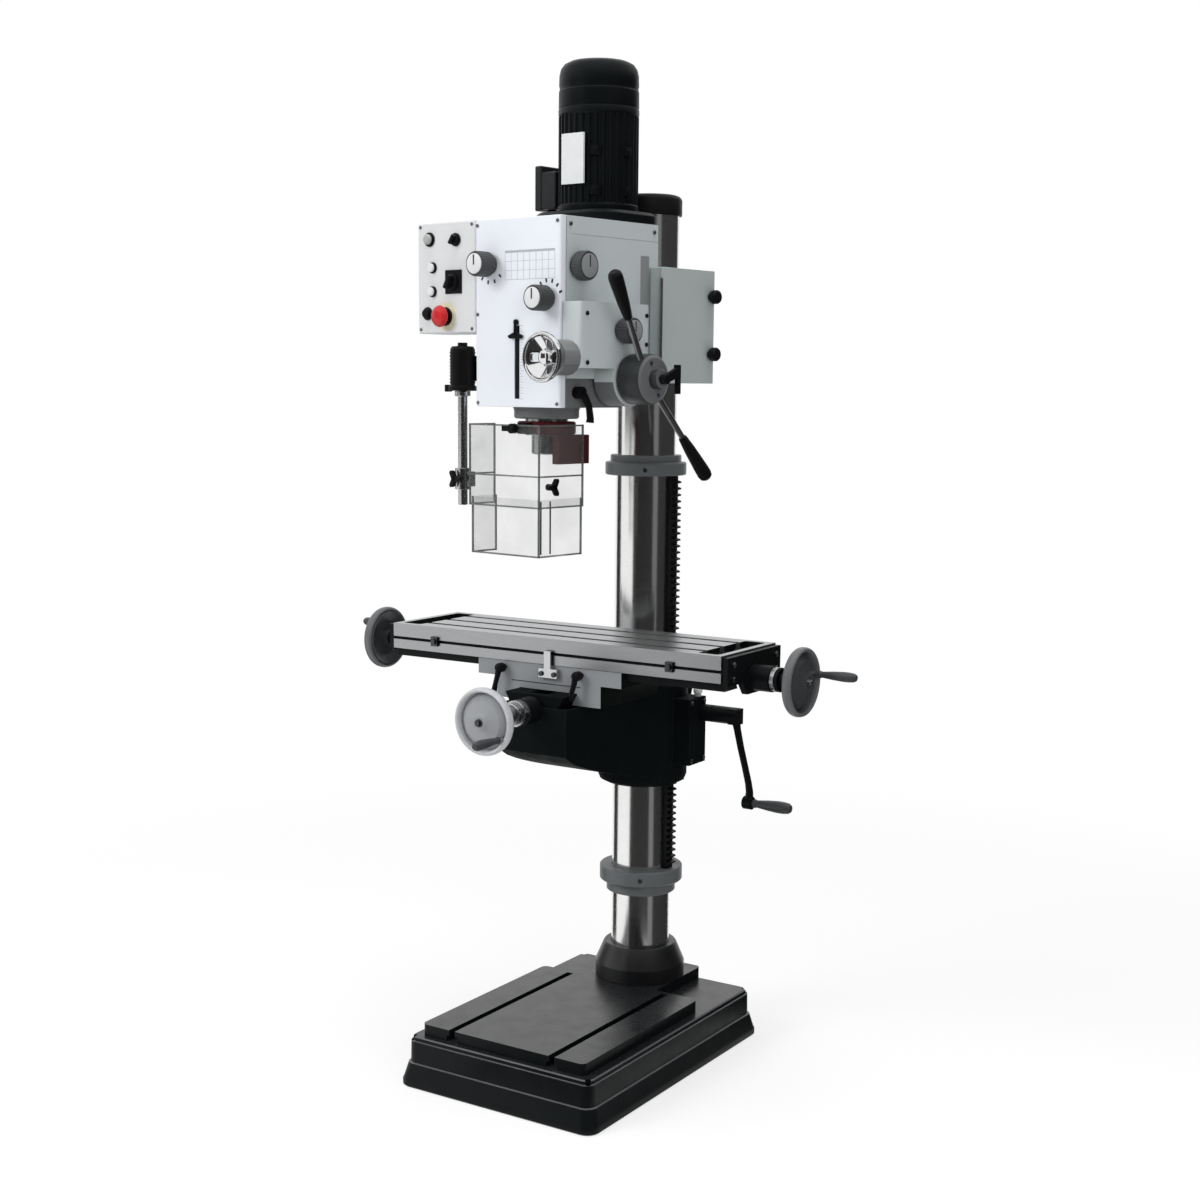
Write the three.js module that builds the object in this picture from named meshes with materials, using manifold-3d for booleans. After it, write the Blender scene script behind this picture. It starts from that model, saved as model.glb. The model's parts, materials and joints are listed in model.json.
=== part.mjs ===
// Floor-standing geared head drill press with a cross table. Millimetres, +Z up, the operator stands at -Y.
// The origin is on the column axis at floor level.
// The head is modelled square to the column and then swung round it.
import * as THREE from 'three';
import { mergeVertices } from 'three/addons/utils/BufferGeometryUtils.js';
import Module from 'manifold-3d';

const wasm = await Module();
wasm.setup();

// Facets of round bodies
const SEG_S = 10;
const SEG_GRIP = 12;
const SEG_KNOB = 14;
const SEG_M = 16;
const SEG_WHEEL = 20;
const SEG_L = 26;
const SEG_BORE = 32;
const CORNER_STEPS = 3;

// Fits: gap between pieces that meet, round the column, how far joined bodies sink into each other,
// how far a cutting tool passes a face, and a loose gap for ways and moving work
const GAP = 0.3;
const COL_GAP = 0.55;
const WELD = 0.5;
const OVER = 1;
const LOOSE = 0.6;
const SAME_POINT = 1e-4;

// Gear tooth form, as shares of the pitch and of the module
const TOOTH_SHARES = { root: 0.29, tip: 0.11, up: 0.8, down: 1.05 };
const RACK_SPACE_SHARES = { root: 0.21, tip: 0.43 };
const SPLINE_SHARES = { tip: 1, space: 1.4, foot: 0.6 };
const THREAD_SHARES = { high: 0.62, base: 0.22, crest: 0.1 };

// Base
const BASE = {
  halfWidth: 220.5, front: -517.7, back: 114.2, top: 96.4, corner: 26, cornerTop: 20, edge: 3,
  plinth: 14, flareTop: 46, flareOut: 1, inset: 13.6, wall: 14, roof: 80, rib: 12, ribY: [-330, -150],
  bossR: 98, boltR: 5.5, boltIn: 10,
};
const DECK = {
  halfWidth: 184, front: -487.6, back: -79, high: 23.5, corner: 14, tailHalf: 88, tailBack: 100, tailIn: 60,
};
const DECK_TOP = BASE.top + DECK.high;
const DECK_SLOT = { x: 113, neck: 14, neckDeep: 11, wide: 26, deep: 22, end: 9 };

// Column, its foot, cap and collars. A wall is measured from the column's skin.
const COLUMN = { r: 59.6, bore: 46, above: 310 };
const FOOT = { wall: 31.4, high: 29, coneWall: 14.4, coneHigh: 70, edge: 4 };
const CAP = { wall: 4.4, high: 38.7, plug: 18, plugGap: 1, edge: 8, edgeIn: 7 };
const COLLAR_LOW = { wall: 24.4, bottom: 322, high: 30, neckWall: 10.4, neckHigh: 22 };
const COLLAR_UP = { wall: 20.4, drop: 185, high: 25, neckWall: 10.4, neckHigh: 14 };

// Lifting gear: rack, pinion, worm wheel and the crank's worm
const GEAR_M = 4;
const LIFT_TEETH = 12;
const WORM_TEETH = 20;
const WORM_M = 2;
const WORM_TURNS_SHARE = 1.75;
const RACK = { under: 5.3, wall: 14.6, half: 13, endGap: 4 };
const RACK_FOOT = COLUMN.r - RACK.under;
const RACK_TIP = COLUMN.r + RACK.wall;
const RACK_ROOT = RACK_TIP - (TOOTH_SHARES.up + TOOTH_SHARES.down) * GEAR_M;
const LIFT = { drop: 89, shaftR: 8, shaftFront: 19.8, shaftBack: 31.6, wheelY: 24, wheelHalf: 5 };
const LIFT_WORM = { r: 9, core: 6.6, start: 25, root: 2 };
const LIFT_R = LIFT_TEETH * GEAR_M / 2;
const LIFT_X = RACK_TIP - TOOTH_SHARES.up * GEAR_M + LIFT_R;
const GEAR_ROOM_SHARE = 1.1;
const LIFT_OUTER = LIFT_R + GEAR_ROOM_SHARE * GEAR_M;

// Knee. Its underside falls from the front to the column in a curve.
const KNEE = {
  halfWidth: 75, front: -391, back: 40, top: 735, frontHigh: 87, fall: 120, wall: 13, ringWall: 30.4,
  ringDrop: 208, ringEdge: 12, ringEdgeIn: 14, hollowTop: 55, hollowEnd: -102, frontWall: 16, through: 235,
};
const KNEE_CURVE_SHARES = [0, 0.03, 0.1, 0.22, 0.38, 0.56, 0.77, 1];
const KNEE_CURVE_POWER_SHARE = 0.72;
const KNEE_CASE = { in: 35, out: 29, front: -26, back: 38, bottom: 161, top: 29, wall: 8 };
const KNEE_CASE_X = LIFT_X + KNEE_CASE.out;
const LIFT_Z = KNEE.top - LIFT.drop;
const CRANK_Z = LIFT_Z + WORM_TEETH * WORM_M / 2 + LIFT_WORM.r;
const WAY = { half: 52, halfTop: 64, high: 22, front: -384, back: -98 };
const WAY_TOP = KNEE.top + WAY.high;
const CHANNEL = { half: 20, deep: 26, front: 22, back: -105 };
const SPLIT = 3;
const CLAMP_EAR = {
  half: 22, from: 18.4, out: 58.4, bottom: 129, top: 59, boltOut: 44.4, boltZ: 95, boltR: 6,
};
const CLAMP_LEVER = {
  x: 36, hubFrom: 24, hubTo: 44, hubR: 11, barR: 5.5, long: 90, knobFrom: 75, knobTo: 102, knobR: 9,
  reach: 30,
};
const CLAMP_LEVER_ANGLE = -20;
const OIL_CUP = { x: 66, y: -60, r: 8, high: 18, sink: 2 };
const CRANK = {
  boss: 15, bossLong: 26, face: 84, hubR: 17, shaftR: 8, drop: 170, out: 22, armHalf: 7, pinR: 5,
  gripHigh: 84, gripR: 12, eyeR: 13, eyeBack: 8, eyeFront: 12, armTop: 14, armIn: 22, armNeck: 10, lean: 5,
  step: 2,
};
const CRANK_BOSS_X = KNEE_CASE_X + CRANK.bossLong;
const CRANK_FACE_X = KNEE_CASE_X + CRANK.face;

// Saddle, cross screw and its handwheel
const SADDLE = {
  half: 160, front: -338, back: -139, plateBottom: 41, plateHigh: 13.5, lipHigh: 29.7, lip: 12.4,
  lowHalf: 116, nutHalf: 18, nutDeep: 14, nutTop: 46, lockDeep: 11.5,
};
const SADDLE_Z = KNEE.top + SADDLE.plateBottom;
const SADDLE_TOP = SADDLE_Z + SADDLE.plateHigh;
const SADDLE_LIP = SADDLE_Z + SADDLE.lipHigh;
const CROSS_NUT = { half: 14, front: -252, back: -218, drop: 19 };
const CROSS = {
  drop: 5, r: 8, threadR: 9.5, threadFrom: -360, threadTo: -110, end: -530, bossR: 26, bossFront: -428,
  bossIn: 36, dialR: 24, dial: 18, nutR: 20, nut: 12, wheelR: 61, wheelY: -541, gripX: 42, gripDrop: 26,
};
const CROSS_Z = KNEE.top - CROSS.drop;
const LOCK = {
  x: [-99, 73], up: 17, r: 8, long: 16, stud: 5, standOff: 6, bar: 7, top: 6, half: 6, low: 48, lowIn: 42,
  studIn: 10,
};
const STOP_BLOCK = {
  x0: -16, x1: 26, z0: 6, z1: 24, thick: 9.2, postX0: -4, postX1: 12, postZ1: 57, postGap: 3.2,
};

// Table, its end brackets and screw
const TABLE = { half: 365, front: -340, back: -135.4, above: 0.5, thick: 48.8 };
const TABLE_Z = SADDLE_LIP + TABLE.above;
const TABLE_TOP = TABLE_Z + TABLE.thick;
const RAIL = { front: -325, back: -150, innerFront: -286, innerBack: -189, slope: 8, above: 0.5 };
const RAIL_Z = SADDLE_TOP + RAIL.above;
const SCREW = { y: -237.5, up: 16.5, r: 8, threadR: 9.5, plainEnd: 35, bayHalf: 16, bayDeep: 30, nutBay: 15 };
const SCREW_Z = SADDLE_TOP + SCREW.up;
const TSLOT = { y: [-298, -237.5, -177], neck: 14, neckDeep: 9, wide: 23, deep: 18 };
const TROUGH = { rim: 13, wide: 30, front: -326, back: -149, deep: 14, endWall: 6 };
const STOP_GROOVE = { below: 28, half: 2.6, deep: 6 };
const BRACKET = {
  thick: 12, front: -337, back: -138, top: 3, bottom: 54, low: 77, wide: 44, narrow: 26, bearingR: 24,
  bearing: 38,
};
const BEARING_X = TABLE.half + GAP + BRACKET.thick + BRACKET.bearing;
const DIAL = { r: 22, wide: 16, gap: 1 };
const TABLE_WHEEL = { r: 62, out: 58.7, hubR: 15, pinR: 4.5, pin: 66, grip: 9, screwIn: 12 };
const TABLE_WHEEL_X = BEARING_X + TABLE_WHEEL.out;
const TABLE_PINS = { left: [36, 22], right: [40, 10] };
const WHEEL_HUB = { back: 20, front: 8, neck: 2, neckBack: 6, hole: 11 };
const WHEEL_WEB = { front: 7, back: 1 };
const WHEEL_RIM = { wide: 12, tip: 4, back: 13, mid: 6, front: 3, frontIn: 9, nose: 2, dishIn: 14, dish: 5 };
const WEB_SHARE = 0.55;
const GRIP_SHARES = [[0.7, 0], [0.75, 0.1], [1, 0.6], [0.9, 0.92], [0.5, 1]];
const GRIP_PIN_SHARE = 0.7;
const GRIP_BORE_SHARE = 0.72;
const WHEEL_GRIP = { r: 9, high: 74, crossHigh: 72 };

// Head. Its heights are measured from its underside, which stands above the table.
const HEAD_SWING = -8;
const HEAD_OVER_TABLE = 473;
const HEAD_Z = TABLE_TOP + HEAD_OVER_TABLE;
const COLUMN_TOP = HEAD_Z + COLUMN.above;
const COLLAR_UP_Z = HEAD_Z - COLLAR_UP.drop;
const HEAD = { half: 104.5, front: -352, back: -100, wall: 12, corner: 6 };
const HEAD_TOP = 281.8;
const CHIN = { half: 96, front: -350, back: -190, drop: 52, corner: 8 };
const CHIN_Z = -CHIN.drop;
const NOSE = { r: 60, drop: 21 };
const NOSE_Z = CHIN_Z - NOSE.drop;
const CLAMP = {
  wall: 26.4, bottom: 7, top: 197, earHalf: 24, earFrom: 10.4, earTo: 52.4, earZ: [44, 134], earHigh: 48,
  split: 2.5,
};
const PLATE = { thick: 17.7, corner: 5, shell: 6, rim: 14 };
const PLATE_FACE = HEAD.front - GAP - PLATE.thick;
const PLATE_Z = CHIN_Z + GAP;
const DEPTH_SLOT = { half: 6, bottom: -37, top: 93, deep: 14 };
const SPINDLE_Y = -290;
const QUILL = { r: 40, bottom: -103, top: 130, bore: 25.2, guide: 9, rackHalf: 14.5, rackFirst: -1 };
const SHELF = { z0: 114, z1: 128, lean: 4, end: 2, drop: 32 };
const SPINDLE = {
  noseR: 28, noseEdge: 2, noseHigh: 35, collarR: 25, collarHigh: 34, r: 17, topIn: 4, topHigh: 34,
  neckR: 13, neckIn: 2, splineTop: 268, taper: 65, taperR: 12.5, taperEndR: 9.6, tangHalf: 10, tangThick: 4,
  tang: 20,
};
const SPLINE = { r: 12, m: 1, growShare: 1.02 };
const SPLINE_TEETH = 6;
const SLEEVE = { r: 20, bottom: 134, top: 202 };
const LAY = { y: -220, r: 10, top: 262, foot: 2 };
const MOTOR_Y = -150;
const TRAIN = { lowFrom: 168, lowTo: 192, highFrom: 212, highTo: 232, proud: 1 };
const MOTOR_TEETH = 10;
const LAY_BIG_TEETH = 25;
const LAY_SMALL_TEETH = 12;
const SLEEVE_TEETH = 23;

// Feed: pinion shaft, hub with two levers, side case and fine feed
const FEED_TEETH = 12;
const FEED_R = FEED_TEETH * GEAR_M / 2;
const FEED_Y = SPINDLE_Y + QUILL.r - TOOTH_SHARES.up * GEAR_M + FEED_R;
const FEED_Z = 0;
const FEED = {
  shaftR: 12, shaftFrom: -80, gearHalf: 14, chamberHalf: 18, bossR: 24, bossFrom: 40, bore: -100,
};
const CASE_WIDE = 45.2;
const CASE_X = HEAD.half + GAP;
const CASE = {
  x0: CASE_X, x1: CASE_X + CASE_WIDE, front: -367, back: -178, bottom: 18, top: 133.4, corner: 6, wall: 6,
  shell: 8, floor: 4, roundR: 49, roundBore: 38,
};
const FINE_OUT = 15.2;
const FINE = { x: CASE_X + FINE_OUT, z: 36, r: 44, y: -428, bossR: 31, bossStart: 22, shaftR: 8, hubR: 16 };
const FINE_WHEEL = {
  nutBack: 12, nutR: 11, neckR: 13, neckBack: 3, web: 4, webFront: 10, rim: 8, rimDeep: 4, lipIn: 2,
  lipBack: 6, lipFront: 5, lipFrontIn: 3, hubFrontR: 10, hubFront: 9, holeFrom: 11, holeEnd: 22,
  holeHalf: 8, holeCorner: 4, holeOut: 13, through: 20,
};
const FINE_HOLES = 3;
const FINE_WORM = { m: 2.7, core: 6.4, before: 26, after: 30, wheelR: 27, wheelHalf: 5 };
const DRUM = { r: 45, x0: 152, x1: 206, edge: 4, faceEdge: 6, bossR: 18, bossX: 222 };
const LEVER = {
  x: 188, start: 30, barR: 6, socket: 80, grip: 132, gripNeck: 8, gripRise: 20, gripR: 13, tip: 229,
  tipEdge: 10, tipIn: 6,
};
const LEVER_LEAN_ANGLE = 9;
const LEVER_TURN_ANGLE = 37;
const CLUTCH = {
  r: 9, thick: 14, from: 4, to: 12, armHalf: 6, armOut: 40, armTop: 26, tailIn: 31, tailLow: 26,
  tailTop: 24,
};
const QUILL_LOCK = {
  y: -318, z: -25, r: 11, long: 18, from: 8, to: 17, wide: 6, barTop: 10, out: 26, low: 50, bar: 9, ease: 2,
};
const COLLAR = {
  r: 54, low: 2, high: 25, blockX0: 2, blockX1: 50, blockY0: 20, blockY1: 74, blockLow: 52, blockTop: 21,
};
const COLLAR_EAR = { half: 10, out: 64, into: 44, low: 4, high: 23, screwR: 3.4, screwZ: 13, screwIn: 30 };

// Motor, stacked on the head: flange, finned body, fan cover
const MOTOR = {
  flange: 22.2, body: 188, cover: 84, r: 75, bore: 60, fin: 3, flangeHalf: 98, flangeFront: 96,
  flangeBack: 86, corner: 56, edge: 6, ring: 9, floor: 4, headBore: 46,
};
const MOTOR_FINS_TEETH = 20;
const MOTOR_FLANGE_Z = HEAD_TOP + MOTOR.flange;
const MOTOR_BODY_Z = MOTOR_FLANGE_Z + MOTOR.body;
const MOTOR_TOP = MOTOR_BODY_Z + MOTOR.cover;
const COWL = { shoulder: 26, slope: 10, slopeIn: 6, topIn: 22, skin: 3.5, inner: 9, foot: 5 };
const ROTOR = {
  r: 46, above: 38, below: 30, shaftR: 9, shaftLow: 8, fanR: 54, bladeFrom: 12, bladeTo: 52, bladeHalf: 1.5,
};
const FAN_SHARES = [0.14, 0.2, 0.18, 0.47, 0.55];
const FAN_BLADES = 6;
const TERMINAL = {
  x0: -125, front: -186, back: -116, above: 11, high: 79, corner: 3, glandR: 9, glandY: [-168, -136],
  glandX: -100, glandLow: 8,
};

// Boxes on the head
const CONTROL = { x0: -256, front: PLATE_FACE, back: -282, bottom: 81, top: 284, wall: 4, corner: 4 };
const CONTROL_BUTTONS = [[-223, 253], [-154, 250], [-215, 201.5], [-215.5, 158], [-229, 118]];
const BUTTON = { r: 9, out: 7 };
const SWITCH = { x: -162, z: 174, r: 13, long: 18, stem: 6, deep: 5, gap: 2 };
const STOP = {
  x: -181, z: 112, bezelR: 16, bezel: 7, stemR: 8, capR: 20, capFaceR: 12, neckR: 14, from: 12, low: 14,
  high: 20, out: 26, deep: 8,
};
const ELECTRIC_GAP = 0.8;
const ELECTRIC_WIDE = 30.7;
const ELECTRIC_X = HEAD.half + ELECTRIC_GAP;
const ELECTRIC = {
  x0: ELECTRIC_X, x1: ELECTRIC_X + ELECTRIC_WIDE, front: -127, back: 29, bottom: -7, top: 204, wall: 4,
  corner: 4, lip: 4,
};
const ELECTRIC_FOOT = { gap: 1.6, front: -62, back: -18, bottom: 62, top: 142 };
const DOOR = {
  thick: 3.7, hingeR: 3, hingeIn: 20, hingeOut: 2.5, knobY: 14, knobZ: [155, 48], knobR: 13, knobNeckR: 6,
  knobNeck: 6, knobOut: 22,
};
const KNOB_IN = { left: 38.5, right: 28.5 };
const KNOBS = {
  left: { x: KNOB_IN.left - HEAD.half, z: 202, r: 22.5, long: 42, deep: 26 },
  right: { x: HEAD.half - KNOB_IN.right, z: 139, r: 22.5, long: 42, deep: 26 },
  range: { y: -326, z: 196, r: 26, long: 30, deep: 8 },
  feed: { y: -258, z: 85, r: 23, long: 34, deep: 5 },
};
const KNOB_FORM = { stemR: 9, standOff: 1, neckHigh: 8, edge: 2, face: 3 };
const KNOB_NECK_SHARE = 0.75;

// Guard
const GUARD = {
  x: -140, y: -368, r: 23, bottom: -25, top: 57, rodR: 9, rodEnd: -235, footR: 26, foot: 9, lid: 7,
  blind: 8, lidR: 9, armFront: -350, armBack: -326, armBottom: -6, armTop: 40, leverOut: 40, leverHalf: 6,
  stopR: 15, stopHigh: 9,
};
const SHIELD = {
  x0: -117, x1: 60, front: -375, right: -256, left: -309, bottom: -233, top: -83, thick: 3, lowBottom: -322,
  lap: 16, slip: 0.5, clampR: 15, clampBottom: -206, clampTop: -166, armFrom: 2, armTo: 12, armIn: 6,
};

const PAINT = {
  cast: [0x24282b, 0.2, 0.6],
  grey: [0xd4d7d8, 0.1, 0.5],
  steel: [0xb4b7ba, 0.9, 0.32],
  chrome: [0xd9dbdd, 1, 0.15],
  black: [0x151617, 0.1, 0.5],
  plastic: [0x18191a, 0, 0.45],
  dark: [0x55585a, 0.4, 0.5],
  white: [0xf1f2f2, 0, 0.5],
  clear: [0xcfd8dc, 0, 0.1],
  red: [0xb3161d, 0, 0.4],
  maroon: [0x5a2229, 0.1, 0.5],
  brass: [0xb59a55, 0.8, 0.35],
};
const materials = Object.fromEntries(Object.entries(PAINT).map(([name, [color, metalness, roughness]]) => [
  name, new THREE.MeshStandardMaterial({ color, metalness, roughness, name })]));

// Solids from closed geometry, and their booleans
function solid(geometry) {
  let g = geometry.index ? geometry.toNonIndexed() : geometry.clone();
  g.deleteAttribute('normal');
  g.deleteAttribute('uv');
  g = mergeVertices(g, SAME_POINT);
  const mesh = new wasm.Mesh({
    numProp: 3,
    vertProperties: new Float32Array(g.attributes.position.array),
    triVerts: new Uint32Array(g.index.array),
  });
  return new wasm.Manifold(mesh);
}

function join(...parts) {
  return parts.flat().reduce((a, b) => a.add(b));
}

function cut(body, ...tools) {
  return tools.flat().reduce((a, b) => a.subtract(b), body);
}

function box(x0, x1, y0, y1, z0, z1) {
  const g = new THREE.BoxGeometry(Math.abs(x1 - x0), Math.abs(y1 - y0), Math.abs(z1 - z0));
  g.translate((x0 + x1) / 2, (y0 + y1) / 2, (z0 + z1) / 2);
  return solid(g);
}

function place(g, axis, centre) {
  if (axis === 'z') g.rotateX(Math.PI / 2);
  if (axis === 'x') g.rotateZ(-Math.PI / 2);
  g.translate(...centre);
}

// A turned body: profile points are [radius, distance along the axis]. Side -1 turns it end for end.
function turned(profile, axis, centre, segments = SEG_M, side = 1) {
  const points = profile.map(([r, h]) => new THREE.Vector2(Math.max(r, 0), h * side));
  if (side < 0) points.reverse();
  const g = new THREE.LatheGeometry(points, segments);
  place(g, axis, centre);
  return solid(g);
}

// A cylinder or cone from a to b along the named axis; centre gives the two other coordinates.
function rod(axis, a, b, r, centre, segments = SEG_M, endR = r) {
  const at = { x: [0, centre[0], centre[1]], y: [centre[0], 0, centre[1]],
      z: [centre[0], centre[1], 0] }[axis];
  const [low, high] = a < b ? [a, b] : [b, a];
  return turned([[0, low], [r, low], [endR, high], [0, high]], axis, at, segments);
}

// A hole that clears a round shaft of radius r all the way round, flats included.
function hole(axis, a, b, r, centre, segments = SEG_S) {
  return rod(axis, a, b, (r + GAP) / Math.cos(Math.PI / segments), centre, segments);
}

// The hole for the column.
function columnHole(z0, z1) {
  return rod('z', z0 - OVER, z1 + OVER, COLUMN.r + COL_GAP, [0, 0], SEG_BORE);
}

// A plate: the outline lies in the plane across the axis, as (y, z), (z, x) or (x, y) pairs.
function plate(axis, a, b, outline) {
  const shape = new THREE.Shape(outline.map(([u, v]) => new THREE.Vector2(u, v)));
  const g = new THREE.ExtrudeGeometry(shape, { depth: b - a, bevelEnabled: false, steps: 1 });
  g.translate(0, 0, a);
  if (axis === 'x') g.applyMatrix4(new THREE.Matrix4().set(0, 0, 1, 0, 1, 0, 0, 0, 0, 1, 0, 0, 0, 0, 0, 1));
  if (axis === 'y') g.applyMatrix4(new THREE.Matrix4().set(0, 1, 0, 0, 0, 0, 1, 0, 1, 0, 0, 0, 0, 0, 0, 1));
  return solid(g);
}

function roundedRing(x0, x1, y0, y1, r, steps = CORNER_STEPS) {
  const ring = [];
  const corners = [[x1 - r, y1 - r, 0], [x0 + r, y1 - r, 90], [x0 + r, y0 + r, 180], [x1 - r, y0 + r, 270]];
  for (const [cx, cy, start] of corners) {
    for (let i = 0; i <= steps; i++) {
      const t = THREE.MathUtils.degToRad(start + 90 * i / steps);
      ring.push([cx + r * Math.cos(t), cy + r * Math.sin(t)]);
    }
  }
  return ring;
}

// A geometry from rings of points, each with as many, closed at both ends by fans.
function skin(rings) {
  const n = rings[0].length;
  const faces = [];
  for (let k = 0; k + 1 < rings.length; k++) {
    for (let i = 0; i < n; i++) {
      const a = k * n + i;
      const b = k * n + (i + 1) % n;
      faces.push(a, b, b + n, a, b + n, a + n);
    }
  }
  const last = (rings.length - 1) * n;
  for (let i = 1; i + 1 < n; i++) {
    faces.push(0, i + 1, i, last, last + i, last + i + 1);
  }
  const g = new THREE.BufferGeometry();
  g.setAttribute('position', new THREE.Float32BufferAttribute(rings.flat(2), 3));
  g.setIndex(faces);
  return g;
}

// A casting with rounded upright corners through [z, x0, x1, y0, y1, r] sections.
function casting(sections, steps = CORNER_STEPS) {
  return solid(skin(sections.map(([z, x0, x1, y0, y1, r]) => (
    roundedRing(x0, x1, y0, y1, r, steps).map(([x, y]) => [x, y, z])))));
}

// An upright block with rounded corners.
function block(z0, z1, x0, x1, y0, y1, r, steps = 2) {
  return casting([[z0, x0, x1, y0, y1, r], [z1, x0, x1, y0, y1, r]], steps);
}

// Gear outline with plain tapered teeth and working backlash; its first tooth is phase away from +u.
function gearOutline(teeth, pitchR, m, phase = 0, up = TOOTH_SHARES.up, down = TOOTH_SHARES.down) {
  const out = [];
  const step = 2 * Math.PI / teeth;
  const { root, tip } = TOOTH_SHARES;
  for (let i = 0; i < teeth; i++) {
    for (const [share, height] of [[-root, -down], [-tip, up], [tip, up], [root, -down]]) {
      const t = (i + share) * step + phase;
      const r = pitchR + height * m;
      out.push([r * Math.cos(t), r * Math.sin(t)]);
    }
  }
  return out;
}

function shift(outline, u, v) {
  return outline.map(([a, b]) => [a + u, b + v]);
}

function turn(body, axis, degrees, centre) {
  const [x, y, z] = centre;
  const angles = { x: [degrees, 0, 0], y: [0, degrees, 0], z: [0, 0, degrees] }[axis];
  return body.translate(-x, -y, -z).rotate(...angles).translate(x, y, z);
}

// A worm's helical thread, lead long for each turn, centred on middle.
function worm(axis, middle, leads, r, lead, root, centre) {
  const steps = Math.round(2 * leads * SEG_S);
  const high = THREAD_SHARES.high * lead / Math.PI;
  const base = THREAD_SHARES.base * lead;
  const crest = THREAD_SHARES.crest * lead;
  const low = r - high - root;
  const rings = [];
  for (let i = 0; i <= steps; i++) {
    const t = 2 * Math.PI * i / SEG_S;
    const h = middle + leads * lead * (2 * i / steps - 1);
    const section = [[low, h - base], [r + high, h - crest], [r + high, h + crest], [low, h + base]];
    rings.push(section.map(([q, s]) => [q * Math.cos(t), s, q * Math.sin(t)]));
  }
  const g = skin(rings);
  place(g, axis, centre);
  return solid(g);
}

function mesh(name, body, material) {
  const m = body.getMesh();
  const g = new THREE.BufferGeometry();
  g.setAttribute('position', new THREE.Float32BufferAttribute(m.vertProperties, 3));
  g.setIndex(Array.from(m.triVerts));
  g.computeVertexNormals();
  const out = new THREE.Mesh(g, materials[material]);
  out.name = name;
  return out;
}

// Repeated forms
function dishedWheel(axis, centre, r, hubR, side) {
  const h = WHEEL_HUB;
  const w = WHEEL_WEB;
  const k = WHEEL_RIM;
  const mid = r * WEB_SHARE;
  const back = [[0, -h.back], [hubR, -h.back], [hubR + h.neck, -h.neckBack], [mid, -w.back]];
  const rim = [[r - k.wide, -k.wide], [r - k.tip, -k.back], [r, -k.mid], [r - k.nose, k.nose],
      [r - k.frontIn, k.front]];
  const dish = [[r - k.dishIn, -k.dish], [mid, w.front], [hubR, h.front], [0, h.front]];
  return turned([...back, ...rim, ...dish], axis, centre, SEG_WHEEL, side);
}

function grip(axis, centre, high, side, r) {
  const profile = GRIP_SHARES.map(([a, b]) => [r * a, high * b]);
  return turned([[0, 0], ...profile, [0, high]], axis, centre, SEG_GRIP, side);
}

// A round knob standing off its face, with its stem going in behind it.
function knobWithStem(axis, centre, k, side) {
  const f = KNOB_FORM;
  const stem = k.stem ?? f.stemR;
  const neck = k.r * KNOB_NECK_SHARE;
  const along = { x: centre[0], y: centre[1] }[axis];
  const across = { x: centre.slice(1), y: [centre[0], centre[2]] }[axis];
  const profile = [[0, 0], [neck, 0], [neck, f.neckHigh], [k.r, f.neckHigh + f.edge], [k.r, k.long - f.face],
    [k.r - f.face, k.long], [0, k.long]];
  return join(turned(profile, axis, centre, SEG_KNOB, side),
    rod(axis, along - side * k.deep, along + side * WELD, stem, across, SEG_S));
}

function tslot(along, a, b, across, top, s) {
  const boxes = [[s.neck / 2, top - s.neckDeep - WELD, top + WELD],
      [s.wide / 2, top - s.deep, top - s.neckDeep]];
  return boxes.map(([h, z0, z1]) => (along === 'x'
    ? box(a, b, across - h, across + h, z0, z1)
    : box(across - h, across + h, a, b, z0, z1)));
}

// A box with one open side.
function hollowBox(b, x1) {
  const outer = block(b.bottom, b.top, b.x0, x1, b.front, b.back, b.corner, 1);
  return cut(outer, box(b.x0 + b.wall, x1 + OVER, b.front + b.wall, b.back - b.wall, b.bottom + b.wall,
      b.top - b.wall));
}

// Stand
function buildBase() {
  const b = BASE;
  const d = DECK;
  const x = b.halfWidth - b.inset;
  const y0 = b.front + b.inset;
  const y1 = b.back - b.inset;
  const f = b.flareOut;
  const e = b.edge;
  const shell = casting([
    [0, -b.halfWidth, b.halfWidth, b.front, b.back, b.corner],
    [b.plinth, -b.halfWidth, b.halfWidth, b.front, b.back, b.corner],
    [b.flareTop, -x - f, x + f, y0 - f, y1 + f, b.cornerTop],
    [b.top - e, -x, x, y0, y1, b.cornerTop],
    [b.top, -x + e, x - e, y0 + e, y1 - e, b.cornerTop - e],
  ]);
  let body = join(shell,
    block(b.top - WELD, DECK_TOP, -d.halfWidth, d.halfWidth, d.front, d.back, d.corner),
    block(b.top - WELD, DECK_TOP, -d.tailHalf, d.tailHalf, d.back - d.tailIn, d.tailBack, d.corner));
  const ribs = b.ribY.flatMap((y) => [y - b.rib / 2, y + b.rib / 2]);
  const ys = [y0 + b.wall, ...ribs, y1 - b.wall];
  const boss = rod('z', -OVER, b.roof + OVER, b.bossR, [0, 0], SEG_L);
  for (let i = 0; i < ys.length; i += 2) {
    for (const side of [-1, 1]) {
      body = cut(body, cut(box(side * b.rib / 2, side * (x - b.wall), ys[i], ys[i + 1], -OVER, b.roof),
          boss));
    }
  }
  for (const side of [-1, 1]) {
    body = cut(body, tslot('y', d.front - OVER, d.back - DECK_SLOT.end, side * DECK_SLOT.x, DECK_TOP,
        DECK_SLOT));
    for (const y of [y0 + b.boltIn, y1 - b.boltIn]) {
      body = cut(body, rod('z', -OVER, b.top + OVER, b.boltR, [side * (x - b.boltIn), y], SEG_S));
    }
  }
  return body;
}

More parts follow.
